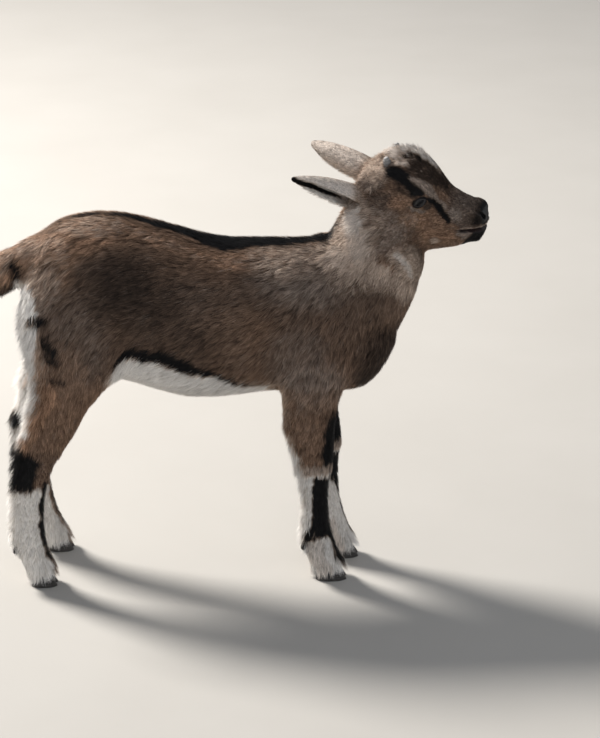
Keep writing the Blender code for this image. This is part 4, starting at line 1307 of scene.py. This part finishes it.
def lock_mesh(name, points, charts, marks, lock):
    """Tapered blades as one mesh: two corners at each step of a lock, and its point."""
    count, corners = points.shape[:2]
    mesh = bpy.data.meshes.new(name)
    mesh.vertices.add(count * corners)
    mesh.vertices.foreach_set("co", points.astype(np.float32).ravel())
    pattern = []
    sizes = []
    for step in range(LOCK_STEPS - 1):
        pattern += [2 * step, 2 * step + 1, 2 * step + 3, 2 * step + 2]
        sizes.append(4)
    pattern += [2 * LOCK_STEPS - 2, 2 * LOCK_STEPS - 1, 2 * LOCK_STEPS]
    sizes.append(3)
    pattern = np.array(pattern)
    loops = (np.arange(count)[:, None] * corners + pattern).astype(np.int32)
    mesh.loops.add(loops.size)
    mesh.loops.foreach_set("vertex_index", loops.ravel())
    starts = np.cumsum([0] + sizes[:-1])
    starts = (np.arange(count)[:, None] * len(pattern) + starts).astype(np.int32)
    mesh.polygons.add(starts.size)
    mesh.polygons.foreach_set("loop_start", starts.ravel())
    layer = mesh.uv_layers.new(name="OFBake")
    layer.data.foreach_set("uv", charts[:, pattern].astype(np.float32).ravel())
    mesh.update(calc_edges=True)
    mesh.validate()
    carry(mesh, "marks", np.repeat(marks, corners, axis=0))
    carry(mesh, "lock", lock.reshape(-1, 4))
    mesh.shade_smooth()
    return mesh


def plant(ground, name, words, count, seed, limits=None, pull=0.55, every=16, hang=0.0):
    """One piece of coat over the parts that the words name, as short blades gathered into small clumps."""
    random = np.random.default_rng(seed)
    count = int(count * SHARE)
    chosen = ground.where.on(*words)
    if limits is not None:
        chosen = chosen * limits(ground.where.body)
    picks, shares = spot_of(ground, count, chosen[ground.triangles].mean(1), random)
    triangles = ground.triangles[picks]
    roots = mixed(ground.points, triangles, shares)
    normals = unit(mixed(ground.normals, triangles, shares))
    lie = mixed(ground.lie, triangles, shares)
    depth, length, breadth, loft, stray = (mixed(rows, triangles, shares) for rows in ground.sizes)
    charts = (ground.charts[picks] * shares[:, :, None]).sum(1)

    leaders = clumps(roots, every, random)
    swing = stray * (0.8 * random.normal(size=count) + random.normal(size=count)[leaders])
    swing += 0.12 * ripple(roots, 0.026, 71) + 0.06 * ripple(roots, 0.009, 72)
    lie = unit(lie - normals * (lie * normals).sum(1, keepdims=True))
    lie = turned(lie, normals, swing)
    length = length * random.uniform(0.72, 1.18, count) * (random.uniform(0.88, 1.12, count))[leaders]
    height = depth * random.uniform(0.62, 1.08, count) + loft * random.uniform(0.3, 1.3, count)
    gather = (roots[leaders] - roots) * pull
    reach = np.linalg.norm(gather, axis=1, keepdims=True)
    gather *= np.minimum(1.0, 0.35 * length[:, None] / np.maximum(reach, 1e-9))
    middle = on_ground(ground, roots + lie * length[:, None] * 0.5 + gather * 0.3, height * 0.62)
    tip = on_ground(ground, roots + lie * length[:, None] + gather, height)
    free = np.maximum(np.clip(loft / 0.0045, 0.0, 0.7), hang)[:, None]
    tip = tip * (1 - free) + (roots + lie * length[:, None] + gather + normals * height[:, None]) * free
    base = roots - normals * ROOT_DEPTH

    roll = (0.16 + 0.5 * stray) * random.normal(size=count)
    across = turned(unit(np.cross(lie, normals)), lie, roll)
    corners = []
    lock = []
    strand = 0.5 + 0.22 * random.normal(size=count) + (0.13 * random.normal(size=count))[leaders]
    strand = np.clip(strand, 0, 1)
    fleck = 0.5 * random.random(count) + 0.5 * random.random(count)[leaders]
    chart = []
    for step in range(LOCK_STEPS):
        t = step / LOCK_STEPS
        spot = bend(base, middle, tip, t)
        half = 0.5 * breadth * (0.80 + 0.55 * t - 0.75 * t * t)
        for sign in (-1.0, 1.0):
            corners.append(spot + across * (sign * half)[:, None])
            chart.append(charts + np.array((sign * CHART_HALF, CHART_HALF * (2 * t - 1))))
            lock.append(np.stack([np.full(count, t), strand, fleck, np.ones(count)], axis=1))
    corners.append(tip)
    chart.append(charts + np.array((0.0, CHART_HALF)))
    lock.append(np.stack([np.ones(count), strand, fleck, np.ones(count)], axis=1))
    where = Body(0.6 * roots + 0.4 * middle, ground.part[triangles[:, 0]])
    marks = marks_colour(markings(where, normals))
    corners = np.stack(corners, axis=1)
    corners[:, :, 2] = np.maximum(corners[:, :, 2], LOWEST_HAIR)
    mesh = lock_mesh(name, corners, np.stack(chart, axis=1), marks, np.stack(lock, axis=1))
    piece = new_piece(name, mesh)
    return finished(piece, "coat")


def behind(edge):
    return lambda body: (body[:, 0] <= edge).astype(float)


def before(edge):
    return lambda body: (body[:, 0] > edge).astype(float)


def between(rear, front):
    return lambda body: ((body[:, 0] > rear) & (body[:, 0] <= front)).astype(float)


def make_coat(ground):
    """The whole coat, in pieces that meet without a seam."""
    return [
        plant(ground, "coat_face", ("head",), 52000, 101, every=22, pull=0.35),
        plant(ground, "coat_jaw", ("lower_jaw",), 16000, 102, every=22, pull=0.35),
        plant(ground, "coat_ears", ("ear_",), 20000, 103, pull=0.3),
        plant(ground, "coat_neck", ("neck",), 50000, 104),
        plant(ground, "coat_shoulders", ("trunk",), 61000, 105, before(0.045)),
        plant(ground, "coat_barrel", ("trunk",), 61000, 106, between(-0.065, 0.045)),
        plant(ground, "coat_croup", ("trunk",), 60000, 107, behind(-0.065)),
        plant(ground, "coat_thighs", ("thigh",), 54000, 108),
        plant(ground, "coat_tail", ("tail",), 16000, 109, pull=0.7, hang=0.3),
        plant(ground, "coat_forelegs", ("forearm",), 31000, 110),
        plant(ground, "coat_shanks", ("shank",), 27000, 111),
        plant(ground, "coat_cannons", ("cannon",), 32000, 112),
        plant(ground, "coat_pasterns", ("pastern",), 14000, 113, hang=0.85),
    ]


# ---------------------------------------------------------------- finishes


def node(tree, kind, **settings):
    made = tree.nodes.new(kind)
    for name, value in settings.items():
        setattr(made, name, value)
    return made


def give(tree, socket, value):
    """Joins a socket to another's output, or sets it to a number or a tone."""
    if hasattr(value, "is_output"):
        tree.links.new(value, socket)
    elif isinstance(value, tuple):
        socket.default_value = (*value, 1.0)
    else:
        socket.default_value = value


def mix(tree, factor, first, second, blend="MIX"):
    """A colour mix; each of factor, first and second is a socket or a plain value."""
    made = node(tree, "ShaderNodeMix", data_type="RGBA", blend_type=blend)
    for socket, value in ((made.inputs[0], factor), (made.inputs[6], first), (made.inputs[7], second)):
        give(tree, socket, value)
    return made.outputs[2]


def sum_of(tree, operation, first, second, clamp=False):
    made = node(tree, "ShaderNodeMath", operation=operation, use_clamp=clamp)
    for socket, value in zip(made.inputs, (first, second)):
        give(tree, socket, value)
    return made.outputs[0]


def times(tree, first, second):
    return sum_of(tree, "MULTIPLY", first, second)


def plus(tree, first, second):
    return sum_of(tree, "ADD", first, second)


def graded(tree, value, low, high, start=0.0, end=1.0):
    """The value, stretched from low..high to start..end."""
    made = node(tree, "ShaderNodeMapRange", clamp=True)
    tree.links.new(value, made.inputs[0])
    for socket, number in zip(made.inputs[1:5], (low, high, start, end)):
        socket.default_value = number
    return made.outputs[0]


def noise(tree, vector, scale, detail=3.0, roughness=0.55):
    made = node(tree, "ShaderNodeTexNoise")
    made.inputs["Scale"].default_value = scale
    made.inputs["Detail"].default_value = detail
    made.inputs["Roughness"].default_value = roughness
    if vector is not None:
        tree.links.new(vector, made.inputs["Vector"])
    return made.outputs["Fac"]


def add_bump(tree, shader, height, strength, distance):
    bump = node(tree, "ShaderNodeBump")
    bump.inputs["Strength"].default_value = strength
    bump.inputs["Distance"].default_value = distance
    tree.links.new(height, bump.inputs["Height"])
    tree.links.new(bump.outputs[0], shader.inputs["Normal"])


def new_material(name):
    material = bpy.data.materials.new(name)
    material.use_nodes = True
    return material, material.node_tree, material.node_tree.nodes["Principled BSDF"]


def attribute(tree, name, output="Color"):
    made = node(tree, "ShaderNodeAttribute", attribute_name=name)
    return made.outputs[output]


# Tones of the coat: at the root of a hair, and at its tip.
BROWN_ROOT = (0.034, 0.0210, 0.0150)
BROWN_TIP = (0.194, 0.127, 0.089)
WARM_ROOT = (0.108, 0.058, 0.035)
WARM_TIP = (0.710, 0.430, 0.272)
GREY_ROOT = (0.102, 0.080, 0.066)
GREY_TIP = (0.505, 0.405, 0.335)
BLACK_ROOT = (0.0045, 0.0042, 0.0045)
BLACK_TIP = (0.0105, 0.0100, 0.0105)
CREAM_ROOT = (0.245, 0.172, 0.124)
CREAM_TIP = (0.800, 0.640, 0.515)
WHITE_ROOT = (0.520, 0.470, 0.410)
WHITE_TIP = (0.860, 0.830, 0.790)
# Tones of the bare parts and the floor: the darkest and the palest of each.
NOSE_LEATHER = ((0.005, 0.0045, 0.0045), (0.018, 0.016, 0.015))
# The flesh between the lips is painted near black: painted shade inside the mouth.
MOUTH_FLESH_IN_SHADE = ((0.008, 0.005, 0.005), (0.026, 0.014, 0.013))
IRIS = ((0.014, 0.013, 0.013), (0.058, 0.055, 0.053))
IRIS_RIM = ((0.034, 0.033, 0.033), (0.125, 0.121, 0.118))
PUPIL = (0.004, 0.004, 0.005)
EYE_WHITE = ((0.014, 0.010, 0.009), (0.050, 0.038, 0.034))
LID = ((0.008, 0.007, 0.007), (0.038, 0.030, 0.028))
HORN = ((0.050, 0.047, 0.046), (0.400, 0.390, 0.375))
HORN_GROOVE = (0.040, 0.036, 0.033)
HORN_WORN = (0.420, 0.400, 0.370)
HOOF = ((0.007, 0.0060, 0.0058), (0.026, 0.022, 0.020))
HOOF_DUST = (0.180, 0.160, 0.135)
FLOOR = ((0.430, 0.410, 0.378), (0.480, 0.460, 0.428))


def coat_tone_group():
    """From the markings and a place along a hair to its colour."""
    group = bpy.data.node_groups.new("coat_tone", "ShaderNodeTree")
    group.interface.new_socket("Marks", in_out="INPUT", socket_type="NodeSocketColor")
    for name in ("Frost", "Along", "Strand", "Fleck"):
        group.interface.new_socket(name, in_out="INPUT", socket_type="NodeSocketFloat")
    group.interface.new_socket("Colour", in_out="OUTPUT", socket_type="NodeSocketColor")
    given = node(group, "NodeGroupInput")
    result = node(group, "NodeGroupOutput")
    parts = node(group, "ShaderNodeSeparateColor")
    group.links.new(given.outputs["Marks"], parts.inputs[0])
    dark, pale, warm = parts.outputs
    along = given.outputs["Along"]
    strand = given.outputs["Strand"]
    fleck = given.outputs["Fleck"]

    # A hair lightens from its root to its tip. Some locks stay dark, and a few are tipped with grey.
    lit = graded(group, along, 0.05, 0.95)
    tip = times(group, lit, graded(group, strand, 0.05, 0.90, 0.24, 1.18))
    colour = mix(group, tip, BROWN_ROOT, BROWN_TIP)
    warmed = mix(group, tip, WARM_ROOT, WARM_TIP)
    frosted = mix(group, tip, GREY_ROOT, GREY_TIP)
    black = mix(group, tip, BLACK_ROOT, BLACK_TIP)
    white = mix(group, graded(group, along, 0.0, 0.6), WHITE_ROOT, WHITE_TIP)
    colour = mix(group, times(group, warm, graded(group, strand, 0.2, 0.8, 0.7, 1.0)), colour, warmed)
    frost = given.outputs["Frost"]
    streaks = sum_of(group, "ADD", frost, graded(group, fleck, 0.0, 1.0, -0.45, 0.45), clamp=True)
    frost = sum_of(group, "MULTIPLY", frost, graded(group, streaks, 0.1, 0.8, 0.35, 1.3), clamp=True)
    colour = mix(group, frost, colour, frosted)
    colour = mix(group, graded(group, fleck, 0.86, 0.97, 0.0, 0.40), colour, GREY_TIP)
    cream = mix(group, graded(group, along, 0.0, 0.9), CREAM_ROOT, CREAM_TIP)
    white = mix(group, graded(group, pale, 0.62, 0.88), cream, white)
    uneven = graded(group, fleck, 0.15, 0.85, -0.34, 0.34)
    uneven = times(group, uneven, graded(group, pale, 0.0, 0.3))
    colour = mix(group, graded(group, plus(group, pale, uneven), 0.12, 0.80), colour, white)
    mixed_hair = plus(group, dark, graded(group, fleck, 0.15, 0.85, 0.10, -0.10))
    colour = mix(group, graded(group, mixed_hair, 0.05, 0.80), colour, black)
    shade = node(group, "ShaderNodeHueSaturation")
    group.links.new(graded(group, strand, 0.0, 1.0, 0.72, 1.26), shade.inputs["Value"])
    group.links.new(colour, shade.inputs["Color"])
    group.links.new(shade.outputs[0], result.inputs["Colour"])
    return group


def toned(tree, group, along, strand, fleck):
    made = node(tree, "ShaderNodeGroup", node_tree=group)
    marks = node(tree, "ShaderNodeAttribute", attribute_name="marks")
    tree.links.new(marks.outputs["Color"], made.inputs["Marks"])
    tree.links.new(marks.outputs["Alpha"], made.inputs["Frost"])
    for name, value in (("Along", along), ("Strand", strand), ("Fleck", fleck)):
        give(tree, made.inputs[name], value)
    return made.outputs["Colour"]


def hair_finish(group):
    material, tree, shader = new_material("soft_kid_hair")
    lock = node(tree, "ShaderNodeAttribute", attribute_name="lock")
    parts = node(tree, "ShaderNodeSeparateColor")
    tree.links.new(lock.outputs["Color"], parts.inputs[0])
    colour = toned(tree, group, parts.outputs[0], parts.outputs[1], parts.outputs[2])
    tree.links.new(colour, shader.inputs["Base Color"])
    shader.inputs["Roughness"].default_value = 0.60
    shader.inputs["Specular IOR Level"].default_value = 0.12
    return material


def skin_finish(group):
    """Skin with its fine first coat: the markings, short hair as grain, and bare dark leather on the nose."""
    material, tree, shader = new_material("skin_under_the_coat")
    place = node(tree, "ShaderNodeTexCoord").outputs["Object"]
    fine = noise(tree, place, 900.0, 2.0)
    broad = noise(tree, place, 60.0)
    colour = toned(tree, group, graded(tree, fine, 0.35, 0.65, 0.15, 0.65), broad, fine)
    bare = attribute(tree, "bare", "Fac")
    leather = mix(tree, graded(tree, noise(tree, place, 420.0), 0.35, 0.65), *NOSE_LEATHER)
    colour = mix(tree, bare, colour, leather)
    # Painted shade: the flesh between the lips is near black, as the inside of the mouth in shadow.
    flesh = attribute(tree, "flesh", "Fac")
    colour = mix(tree, flesh, colour, mix(tree, broad, *MOUTH_FLESH_IN_SHADE))
    tree.links.new(colour, shader.inputs["Base Color"])
    wet = sum_of(tree, "MAXIMUM", bare, flesh)
    tree.links.new(graded(tree, wet, 0.0, 1.0, 0.72, 0.50), shader.inputs["Roughness"])
    shader.inputs["Specular IOR Level"].default_value = 0.25
    pores = node(tree, "ShaderNodeTexVoronoi", feature="F1")
    pores.inputs["Scale"].default_value = 1100.0
    tree.links.new(place, pores.inputs["Vector"])
    relief = plus(tree, times(tree, pores.outputs["Distance"], bare), fine)
    add_bump(tree, shader, relief, 0.5, 0.0005)
    return material


def eye_finish():
    """Grey-blue iris with fine spokes round a level slot of a pupil, in a dark white of the eye."""
    material, tree, shader = new_material("kid_eye")
    at = node(tree, "ShaderNodeSeparateXYZ")
    gaze = node(tree, "ShaderNodeAttribute", attribute_name="gaze")
    tree.links.new(gaze.outputs["Vector"], at.inputs[0])
    x, y, _ = at.outputs
    square = plus(tree, times(tree, x, x), times(tree, y, y))
    away = sum_of(tree, "SQRT", square, 0.0)
    angle = sum_of(tree, "ARCTAN2", y, x)
    round_eye = node(tree, "ShaderNodeCombineXYZ")
    tree.links.new(times(tree, angle, 6.0), round_eye.inputs[0])
    tree.links.new(times(tree, away, 2.2), round_eye.inputs[1])
    spokes = noise(tree, round_eye.outputs[0], 2.4, 4.0, 0.6)
    iris = mix(tree, graded(tree, spokes, 0.30, 0.70), *IRIS)
    narrow = plus(tree, square, times(tree, times(tree, y, y), 2.6))
    narrow = sum_of(tree, "SQRT", narrow, 0.0)
    pale_rim = times(tree, graded(tree, narrow, 0.38, 0.46), graded(tree, narrow, 0.62, 0.54))
    rim_tone = mix(tree, graded(tree, spokes, 0.35, 0.65), *IRIS_RIM)
    iris = mix(tree, pale_rim, iris, rim_tone)
    blunt = times(tree, sum_of(tree, "ABSOLUTE", x, 0.0), 0.30)
    slot = sum_of(tree, "POWER", times(tree, blunt, 7.6), 4.0)
    height = sum_of(tree, "POWER", times(tree, sum_of(tree, "ABSOLUTE", y, 0.0), 9.5), 2.0)
    pupil = graded(tree, plus(tree, slot, height), 0.85, 1.15, 1.0, 0.0)
    colour = mix(tree, pupil, iris, PUPIL)
    white = mix(tree, noise(tree, gaze.outputs["Vector"], 6.0), *EYE_WHITE)
    colour = mix(tree, graded(tree, away, 0.62, 0.70), colour, white)
    tree.links.new(colour, shader.inputs["Base Color"])
    shader.inputs["Roughness"].default_value = 0.45
    shader.inputs["Specular IOR Level"].default_value = 0.05
    shader.inputs["Coat Weight"].default_value = 0.16
    shader.inputs["Coat Roughness"].default_value = 0.03
    shader.inputs["Coat IOR"].default_value = 1.38
    return material


def lid_finish():
    material, tree, shader = new_material("dark_lid_edge")
    place = node(tree, "ShaderNodeTexCoord").outputs["Object"]
    tone = noise(tree, place, 700.0)
    tree.links.new(mix(tree, tone, *LID), shader.inputs["Base Color"])
    tree.links.new(graded(tree, tone, 0.3, 0.7, 0.30, 0.50), shader.inputs["Roughness"])
    add_bump(tree, shader, tone, 0.4, 0.0003)
    return material


def horn_finish():
    """Young grey horn, ringed, paler and worn at its tip."""
    material, tree, shader = new_material("young_horn")
    height = attribute(tree, "up_the_horn", "Fac")
    place = node(tree, "ShaderNodeTexCoord").outputs["Object"]
    grain = noise(tree, place, 500.0)
    rings = node(tree, "ShaderNodeMath", operation="SINE")
    wavy = plus(tree, height, times(tree, grain, 0.10))
    tree.links.new(times(tree, wavy, 46.0), rings.inputs[0])
    tone = mix(tree, graded(tree, height, 0.45, 1.0), *HORN)
    tone = mix(tree, graded(tree, rings.outputs[0], -0.2, 1.0, 0.0, 0.35), tone, HORN_GROOVE)
    tone = mix(tree, graded(tree, grain, 0.40, 0.75, 0.0, 0.4), tone, HORN_WORN)
    tree.links.new(tone, shader.inputs["Base Color"])
    tree.links.new(graded(tree, grain, 0.3, 0.7, 0.45, 0.70), shader.inputs["Roughness"])
    add_bump(tree, shader, plus(tree, rings.outputs[0], grain), 0.6, 0.0006)
    return material


def hoof_finish():
    """Dark horn with upright grain and growth rings, dusty towards the ground."""
    material, tree, shader = new_material("dusty_hoof")
    place = node(tree, "ShaderNodeTexCoord").outputs["Object"]
    stretch = node(tree, "ShaderNodeMapping")
    stretch.inputs["Scale"].default_value = (1.0, 1.0, 0.12)
    tree.links.new(place, stretch.inputs["Vector"])
    grain = noise(tree, stretch.outputs[0], 1300.0, 2.0)
    parts = node(tree, "ShaderNodeSeparateXYZ")
    tree.links.new(place, parts.inputs[0])
    rings = sum_of(tree, "SINE", plus(tree, times(tree, parts.outputs[2], 3200.0), grain), 0.0)
    tone = mix(tree, graded(tree, grain, 0.3, 0.7), *HOOF)
    dust = times(tree, graded(tree, parts.outputs[2], 0.0, 0.008, 0.30, 0.03), noise(tree, place, 260.0))
    tone = mix(tree, dust, tone, HOOF_DUST)
    tree.links.new(tone, shader.inputs["Base Color"])
    tree.links.new(graded(tree, dust, 0.0, 0.6, 0.42, 0.85), shader.inputs["Roughness"])
    add_bump(tree, shader, plus(tree, rings, times(tree, grain, 1.6)), 0.45, 0.0004)
    return material


def floor_finish():
    material, tree, shader = new_material("pale_floor")
    place = node(tree, "ShaderNodeTexCoord").outputs["Object"]
    tone = noise(tree, place, 5.0, 6.0)
    tree.links.new(mix(tree, tone, *FLOOR), shader.inputs["Base Color"])
    shader.inputs["Roughness"].default_value = 0.90
    return material


# ---------------------------------------------------------------- eyes and lids


def make_eye(side, finish):
    """An eyeball with a clear bulge in front, looking along its frame's Z."""
    turn = EYES[side] @ Matrix.Rotation(PUPIL_SLANT, 4, "Z")
    shape = bmesh.new()
    bmesh.ops.create_uvsphere(shape, u_segments=64, v_segments=48, radius=1.0)
    gaze = []
    for corner in shape.verts:
        way = corner.co.normalized()
        gaze.append(tuple(way))
        bulge = 0.0006 * math.exp(-((math.acos(max(min(way.z, 1.0), -1.0)) / 0.55) ** 2))
        corner.co = way * (EYE_RADIUS - 0.0003 + bulge)
    mesh = bpy.data.meshes.new("eyeball_" + side)
    shape.to_mesh(mesh)
    shape.free()
    mesh.attributes.new("gaze", "FLOAT_VECTOR", "POINT").data.foreach_set("vector", np.array(gaze).ravel())
    place_outward(mesh, turn)
    mesh.shade_smooth()
    mesh.materials.append(finish)
    return finished(new_piece("eyeball_" + side, mesh), "eye", "eye_" + side)


LID_STEPS = 96
LASHES = 54


def on_lid_ball(x, y):
    return Vector((x, y, math.sqrt(max(LID_RADIUS**2 - x * x - y * y, 0.0))))


def lid_edge(count):
    """Places round the opening of an eye, in the eye's frame, on the ball of the lids."""
    spots = []
    for index in range(count):
        turn = math.tau * index / count
        x = OPENING_HALF * math.cos(turn)
        y = float(upper_lid(x)) if math.sin(turn) >= 0 else float(lower_lid(x))
        spots.append(on_lid_ball(x, y).normalized() * (LID_RADIUS - 0.0003))
    return spots


def make_lid(side, finish):
    """The smooth dark edge of both lids, as one thin ring."""
    spots = lid_edge(LID_STEPS)
    count = len(spots)
    ring = 8
    points = []
    faces = []
    for index, spot in enumerate(spots):
        along = (spots[(index + 1) % count] - spots[index - 1]).normalized()
        out = spot.normalized()
        across = along.cross(out).normalized()
        thick = 0.00046 if spot.y > 0 else 0.00038
        for step in range(ring):
            turn = math.tau * step / ring
            points.append(spot + across * (math.cos(turn) * thick * 1.15) + out * (math.sin(turn) * thick))
        for step in range(ring):
            after = (step + 1) % ring
            next_ring = (index + 1) % count * ring
            faces.append((index * ring + step, index * ring + after, next_ring + after, next_ring + step))
    mesh = mesh_from("lid_edge_" + side, points, faces)
    place_outward(mesh, EYES[side])
    mesh.materials.append(finish)
    return finished(new_piece("lid_edge_" + side, mesh), "coat")


def make_lashes(side, finish):
    """Short dark lashes along the upper lid, as thin solid spikes."""
    random = np.random.default_rng(7)
    points = []
    faces = []
    for share in np.linspace(-0.92, 0.92, LASHES):
        x = share * OPENING_HALF
        y = float(upper_lid(x))
        root = on_lid_ball(x, y)
        out = root.normalized()
        way = (out * 0.9 + Vector((0.35 * share + 0.08 * random.normal(), 0.12, 0.0))).normalized()
        long = 0.0026 * random.uniform(0.7, 1.15)
        droop = Vector((0.0, -0.0011, 0.0)) * random.uniform(0.6, 1.2)
        side_way = way.cross(Vector((0.0, 1.0, 0.0))).normalized() * 0.00007
        up_way = Vector((0.0, 1.0, 0.0)) * 0.00006
        first = len(points)
        for t, width in ((0.0, 1.0), (0.5, 0.7)):
            spot = root + way * (long * t) + droop * (t * t)
            points += [spot + side_way * width, spot + up_way * width, spot - side_way * width]
        points.append(root + way * long + droop)
        for step in range(3):
            after = (step + 1) % 3
            faces.append((first + step, first + after, first + 3 + after, first + 3 + step))
            faces.append((first + 3 + step, first + 3 + after, first + 6))
    mesh = mesh_from("lashes_" + side, points, faces)
    place_outward(mesh, EYES[side])
    mesh.materials.append(finish)
    return finished(new_piece("lashes_" + side, mesh), "coat")


# ---------------------------------------------------------------- horn buds and hooves


HORN_ROWS = 40
HORN_COLUMNS = 36


def make_horn_bud(side, finish):
    """A short blunt cone in low rings, on the line of its CAD piece."""
    name = "horn_bud_" + side
    corners = corners_of(frame["nodes"][name].data)
    middle = np.array(middle_of(name))
    _, _, ways = np.linalg.svd(corners - middle)
    axis = ways[0] if ways[0][2] > 0 else -ways[0]
    reach = ((corners - middle) @ axis).max()
    across = unit(np.cross(axis, (0.0, 1.0, 0.0)))
    other = np.cross(axis, across)
    wide = np.abs((corners - middle) @ across).max() * 0.92
    deep = np.abs((corners - middle) @ other).max() * 0.92
    middle = middle - axis * reach * 0.10
    points = []
    heights = []
    rows, columns = HORN_ROWS, HORN_COLUMNS
    for row in range(rows + 1):
        t = 0.004 + 0.992 * row / rows
        along = reach * (2 * t - 1)
        swell = math.sqrt(max(1.0 - (2 * t - 1) ** 2, 0.0)) ** 0.9
        swell *= 1.0 + 0.035 * math.sin(t * 52.0)
        for column in range(columns):
            turn = math.tau * column / columns
            uneven = 1.0 + 0.03 * math.sin(3 * turn + 9 * t) + 0.02 * math.sin(7 * turn - 5 * t)
            spot = middle + axis * along
            spot = spot + across * (math.cos(turn) * wide * swell * uneven)
            spot = spot + other * (math.sin(turn) * deep * swell * uneven)
            points.append(spot)
            heights.append(t)
    faces = []
    for row in range(rows):
        for column in range(columns):
            after = (column + 1) % columns
            low, high = row * columns, (row + 1) * columns
            faces.append((low + column, low + after, high + after, high + column))
    faces.append(tuple(range(columns - 1, -1, -1)))
    faces.append(tuple(range(rows * columns, (rows + 1) * columns)))
    mesh = mesh_from("horn_" + side, points, faces)
    carry(mesh, "up_the_horn", np.array(heights))
    mesh.materials.append(finish)
    return finished(new_piece("horn_" + side, mesh), "horn", name)


def make_hoof(name, finish):
    """A claw or dewclaw: its CAD solid with rounded walls; the sole keeps its edge and stays flat."""
    shape = bmesh.new()
    shape.from_mesh(frame["nodes"][name].data)
    bmesh.ops.remove_doubles(shape, verts=shape.verts[:], dist=SAME_PLACE)
    crease = shape.edges.layers.float.new("crease_edge")
    if name.startswith("claw_"):
        low = min(corner.co.z for corner in shape.verts)
        for edge in shape.edges:
            ends = [corner.co.z - low < 1e-4 for corner in edge.verts]
            outer = len({round(face.normal.z, 1) for face in edge.link_faces}) > 1
            if all(ends) and outer:
                edge[crease] = 0.9
    mesh = bpy.data.meshes.new("hoof_" + name)
    shape.to_mesh(mesh)
    shape.free()
    piece = new_piece(name + "_horn", mesh)
    rounded = piece.modifiers.new("rounded", "SUBSURF")
    rounded.levels = 3
    rounded.render_levels = 3
    mesh = shaped(piece)
    mesh.shade_smooth()
    mesh.materials.clear()
    mesh.materials.append(finish)
    return finished(piece, "hoof", name)


# ---------------------------------------------------------------- stage


def make_stage():
    mesh = mesh_from("floor", [(-8, -8, 0), (8, -8, 0), (8, 8, 0), (-8, 8, 0)], [(0, 1, 2, 3)], smooth=False)
    mesh.materials.append(floor_finish())
    floor = new_piece("floor", mesh)


def area_light(name, place, aim, size, power, colour):
    light = bpy.data.lights.new(name, "AREA")
    light.shape = "DISK"
    light.size = size
    light.energy = power
    light.color = colour
    lamp = bpy.data.objects.new(name, light)
    bpy.context.scene.collection.objects.link(lamp)
    lamp.location = place
    lamp.rotation_euler = (Vector(aim) - Vector(place)).to_track_quat("-Z", "Y").to_euler()


def make_lights():
    middle = (0.0, 0.0, 0.25)
    area_light("key", (-2.06, 1.38, 2.46), middle, 0.8, 235.0, (1.0, 0.965, 0.92))
    area_light("fill", (0.6, -2.8, 1.5), middle, 2.4, 17.0, (0.93, 0.96, 1.0))
    area_light("side", (2.6, 0.6, 1.4), middle, 1.8, 9.0, (1.0, 0.98, 0.95))
    world = bpy.data.worlds.new("studio")
    world.use_nodes = True
    sky = world.node_tree.nodes["Background"]
    sky.inputs["Color"].default_value = (0.86, 0.91, 1.0, 1.0)
    sky.inputs["Strength"].default_value = 0.34
    bpy.context.scene.world = world


SENSOR = 36.0
IMAGE_HEIGHT = 738.0
FOCAL_LENGTH = 2600.0  # where the image is IMAGE_HEIGHT high
CAMERA_AIM = BODY + Vector((0.0700, 0.0, 0.2181))
CAMERA_AWAY = 2.6
CAMERA_DOWN = math.radians(22)


def make_camera():
    """A level-held long lens on the kid's right, looking down on it a little."""
    camera = bpy.data.cameras.new("camera")
    camera.sensor_width = SENSOR
    camera.sensor_fit = "AUTO"
    camera.lens = FOCAL_LENGTH * SENSOR / IMAGE_HEIGHT
    item = bpy.data.objects.new("camera", camera)
    bpy.context.scene.collection.objects.link(item)
    back = Vector((0.0, -math.cos(CAMERA_DOWN), math.sin(CAMERA_DOWN)))
    item.location = CAMERA_AIM + CAMERA_AWAY * back
    item.rotation_euler = (CAMERA_AIM - item.location).to_track_quat("-Z", "Y").to_euler()
    bpy.context.scene.camera = item


# ---------------------------------------------------------------- the kid


def make_kid():
    finder = part_finder()
    skin = make_skin(finder)
    ground = Ground(skin, finder)
    tones = coat_tone_group()
    hair = hair_finish(tones)
    carry(skin.data, "marks", marks_colour(ground.marks))
    carry(skin.data, "bare", np.clip(ground.marks["bare"], 0, 1))
    carry(skin.data, "flesh", shaded_flesh_of_mouth(ground))
    skin.data.materials.clear()
    skin.data.materials.append(skin_finish(tones))
    finished(skin, "coat", *FLESH)
    for piece in make_coat(ground):
        piece.data.materials.append(hair)
    eye, lid, horn, hoof = eye_finish(), lid_finish(), horn_finish(), hoof_finish()
    for side in SIDES:
        make_eye(side, eye)
        make_lid(side, lid)
        make_lashes(side, lid)
        make_horn_bud(side, horn)
    for name in sorted(frame["nodes"]):
        if name.startswith(("claw_", "dewclaw_")):
            make_hoof(name, hoof)


def shaded_flesh_of_mouth(ground):
    """1 on the bare flesh between the lips, which is painted near black as the shade inside the mouth."""
    face = ground.where.face
    own = ground.where.on("head", "lower_jaw")
    x, _, z = face.T
    return np.clip(own * in_mouth(x, z, 0.0007, 0.0006), 0, 1)


make_camera()
make_lights()
make_stage()
make_kid()
bpy.context.scene.view_settings.view_transform = "Standard"
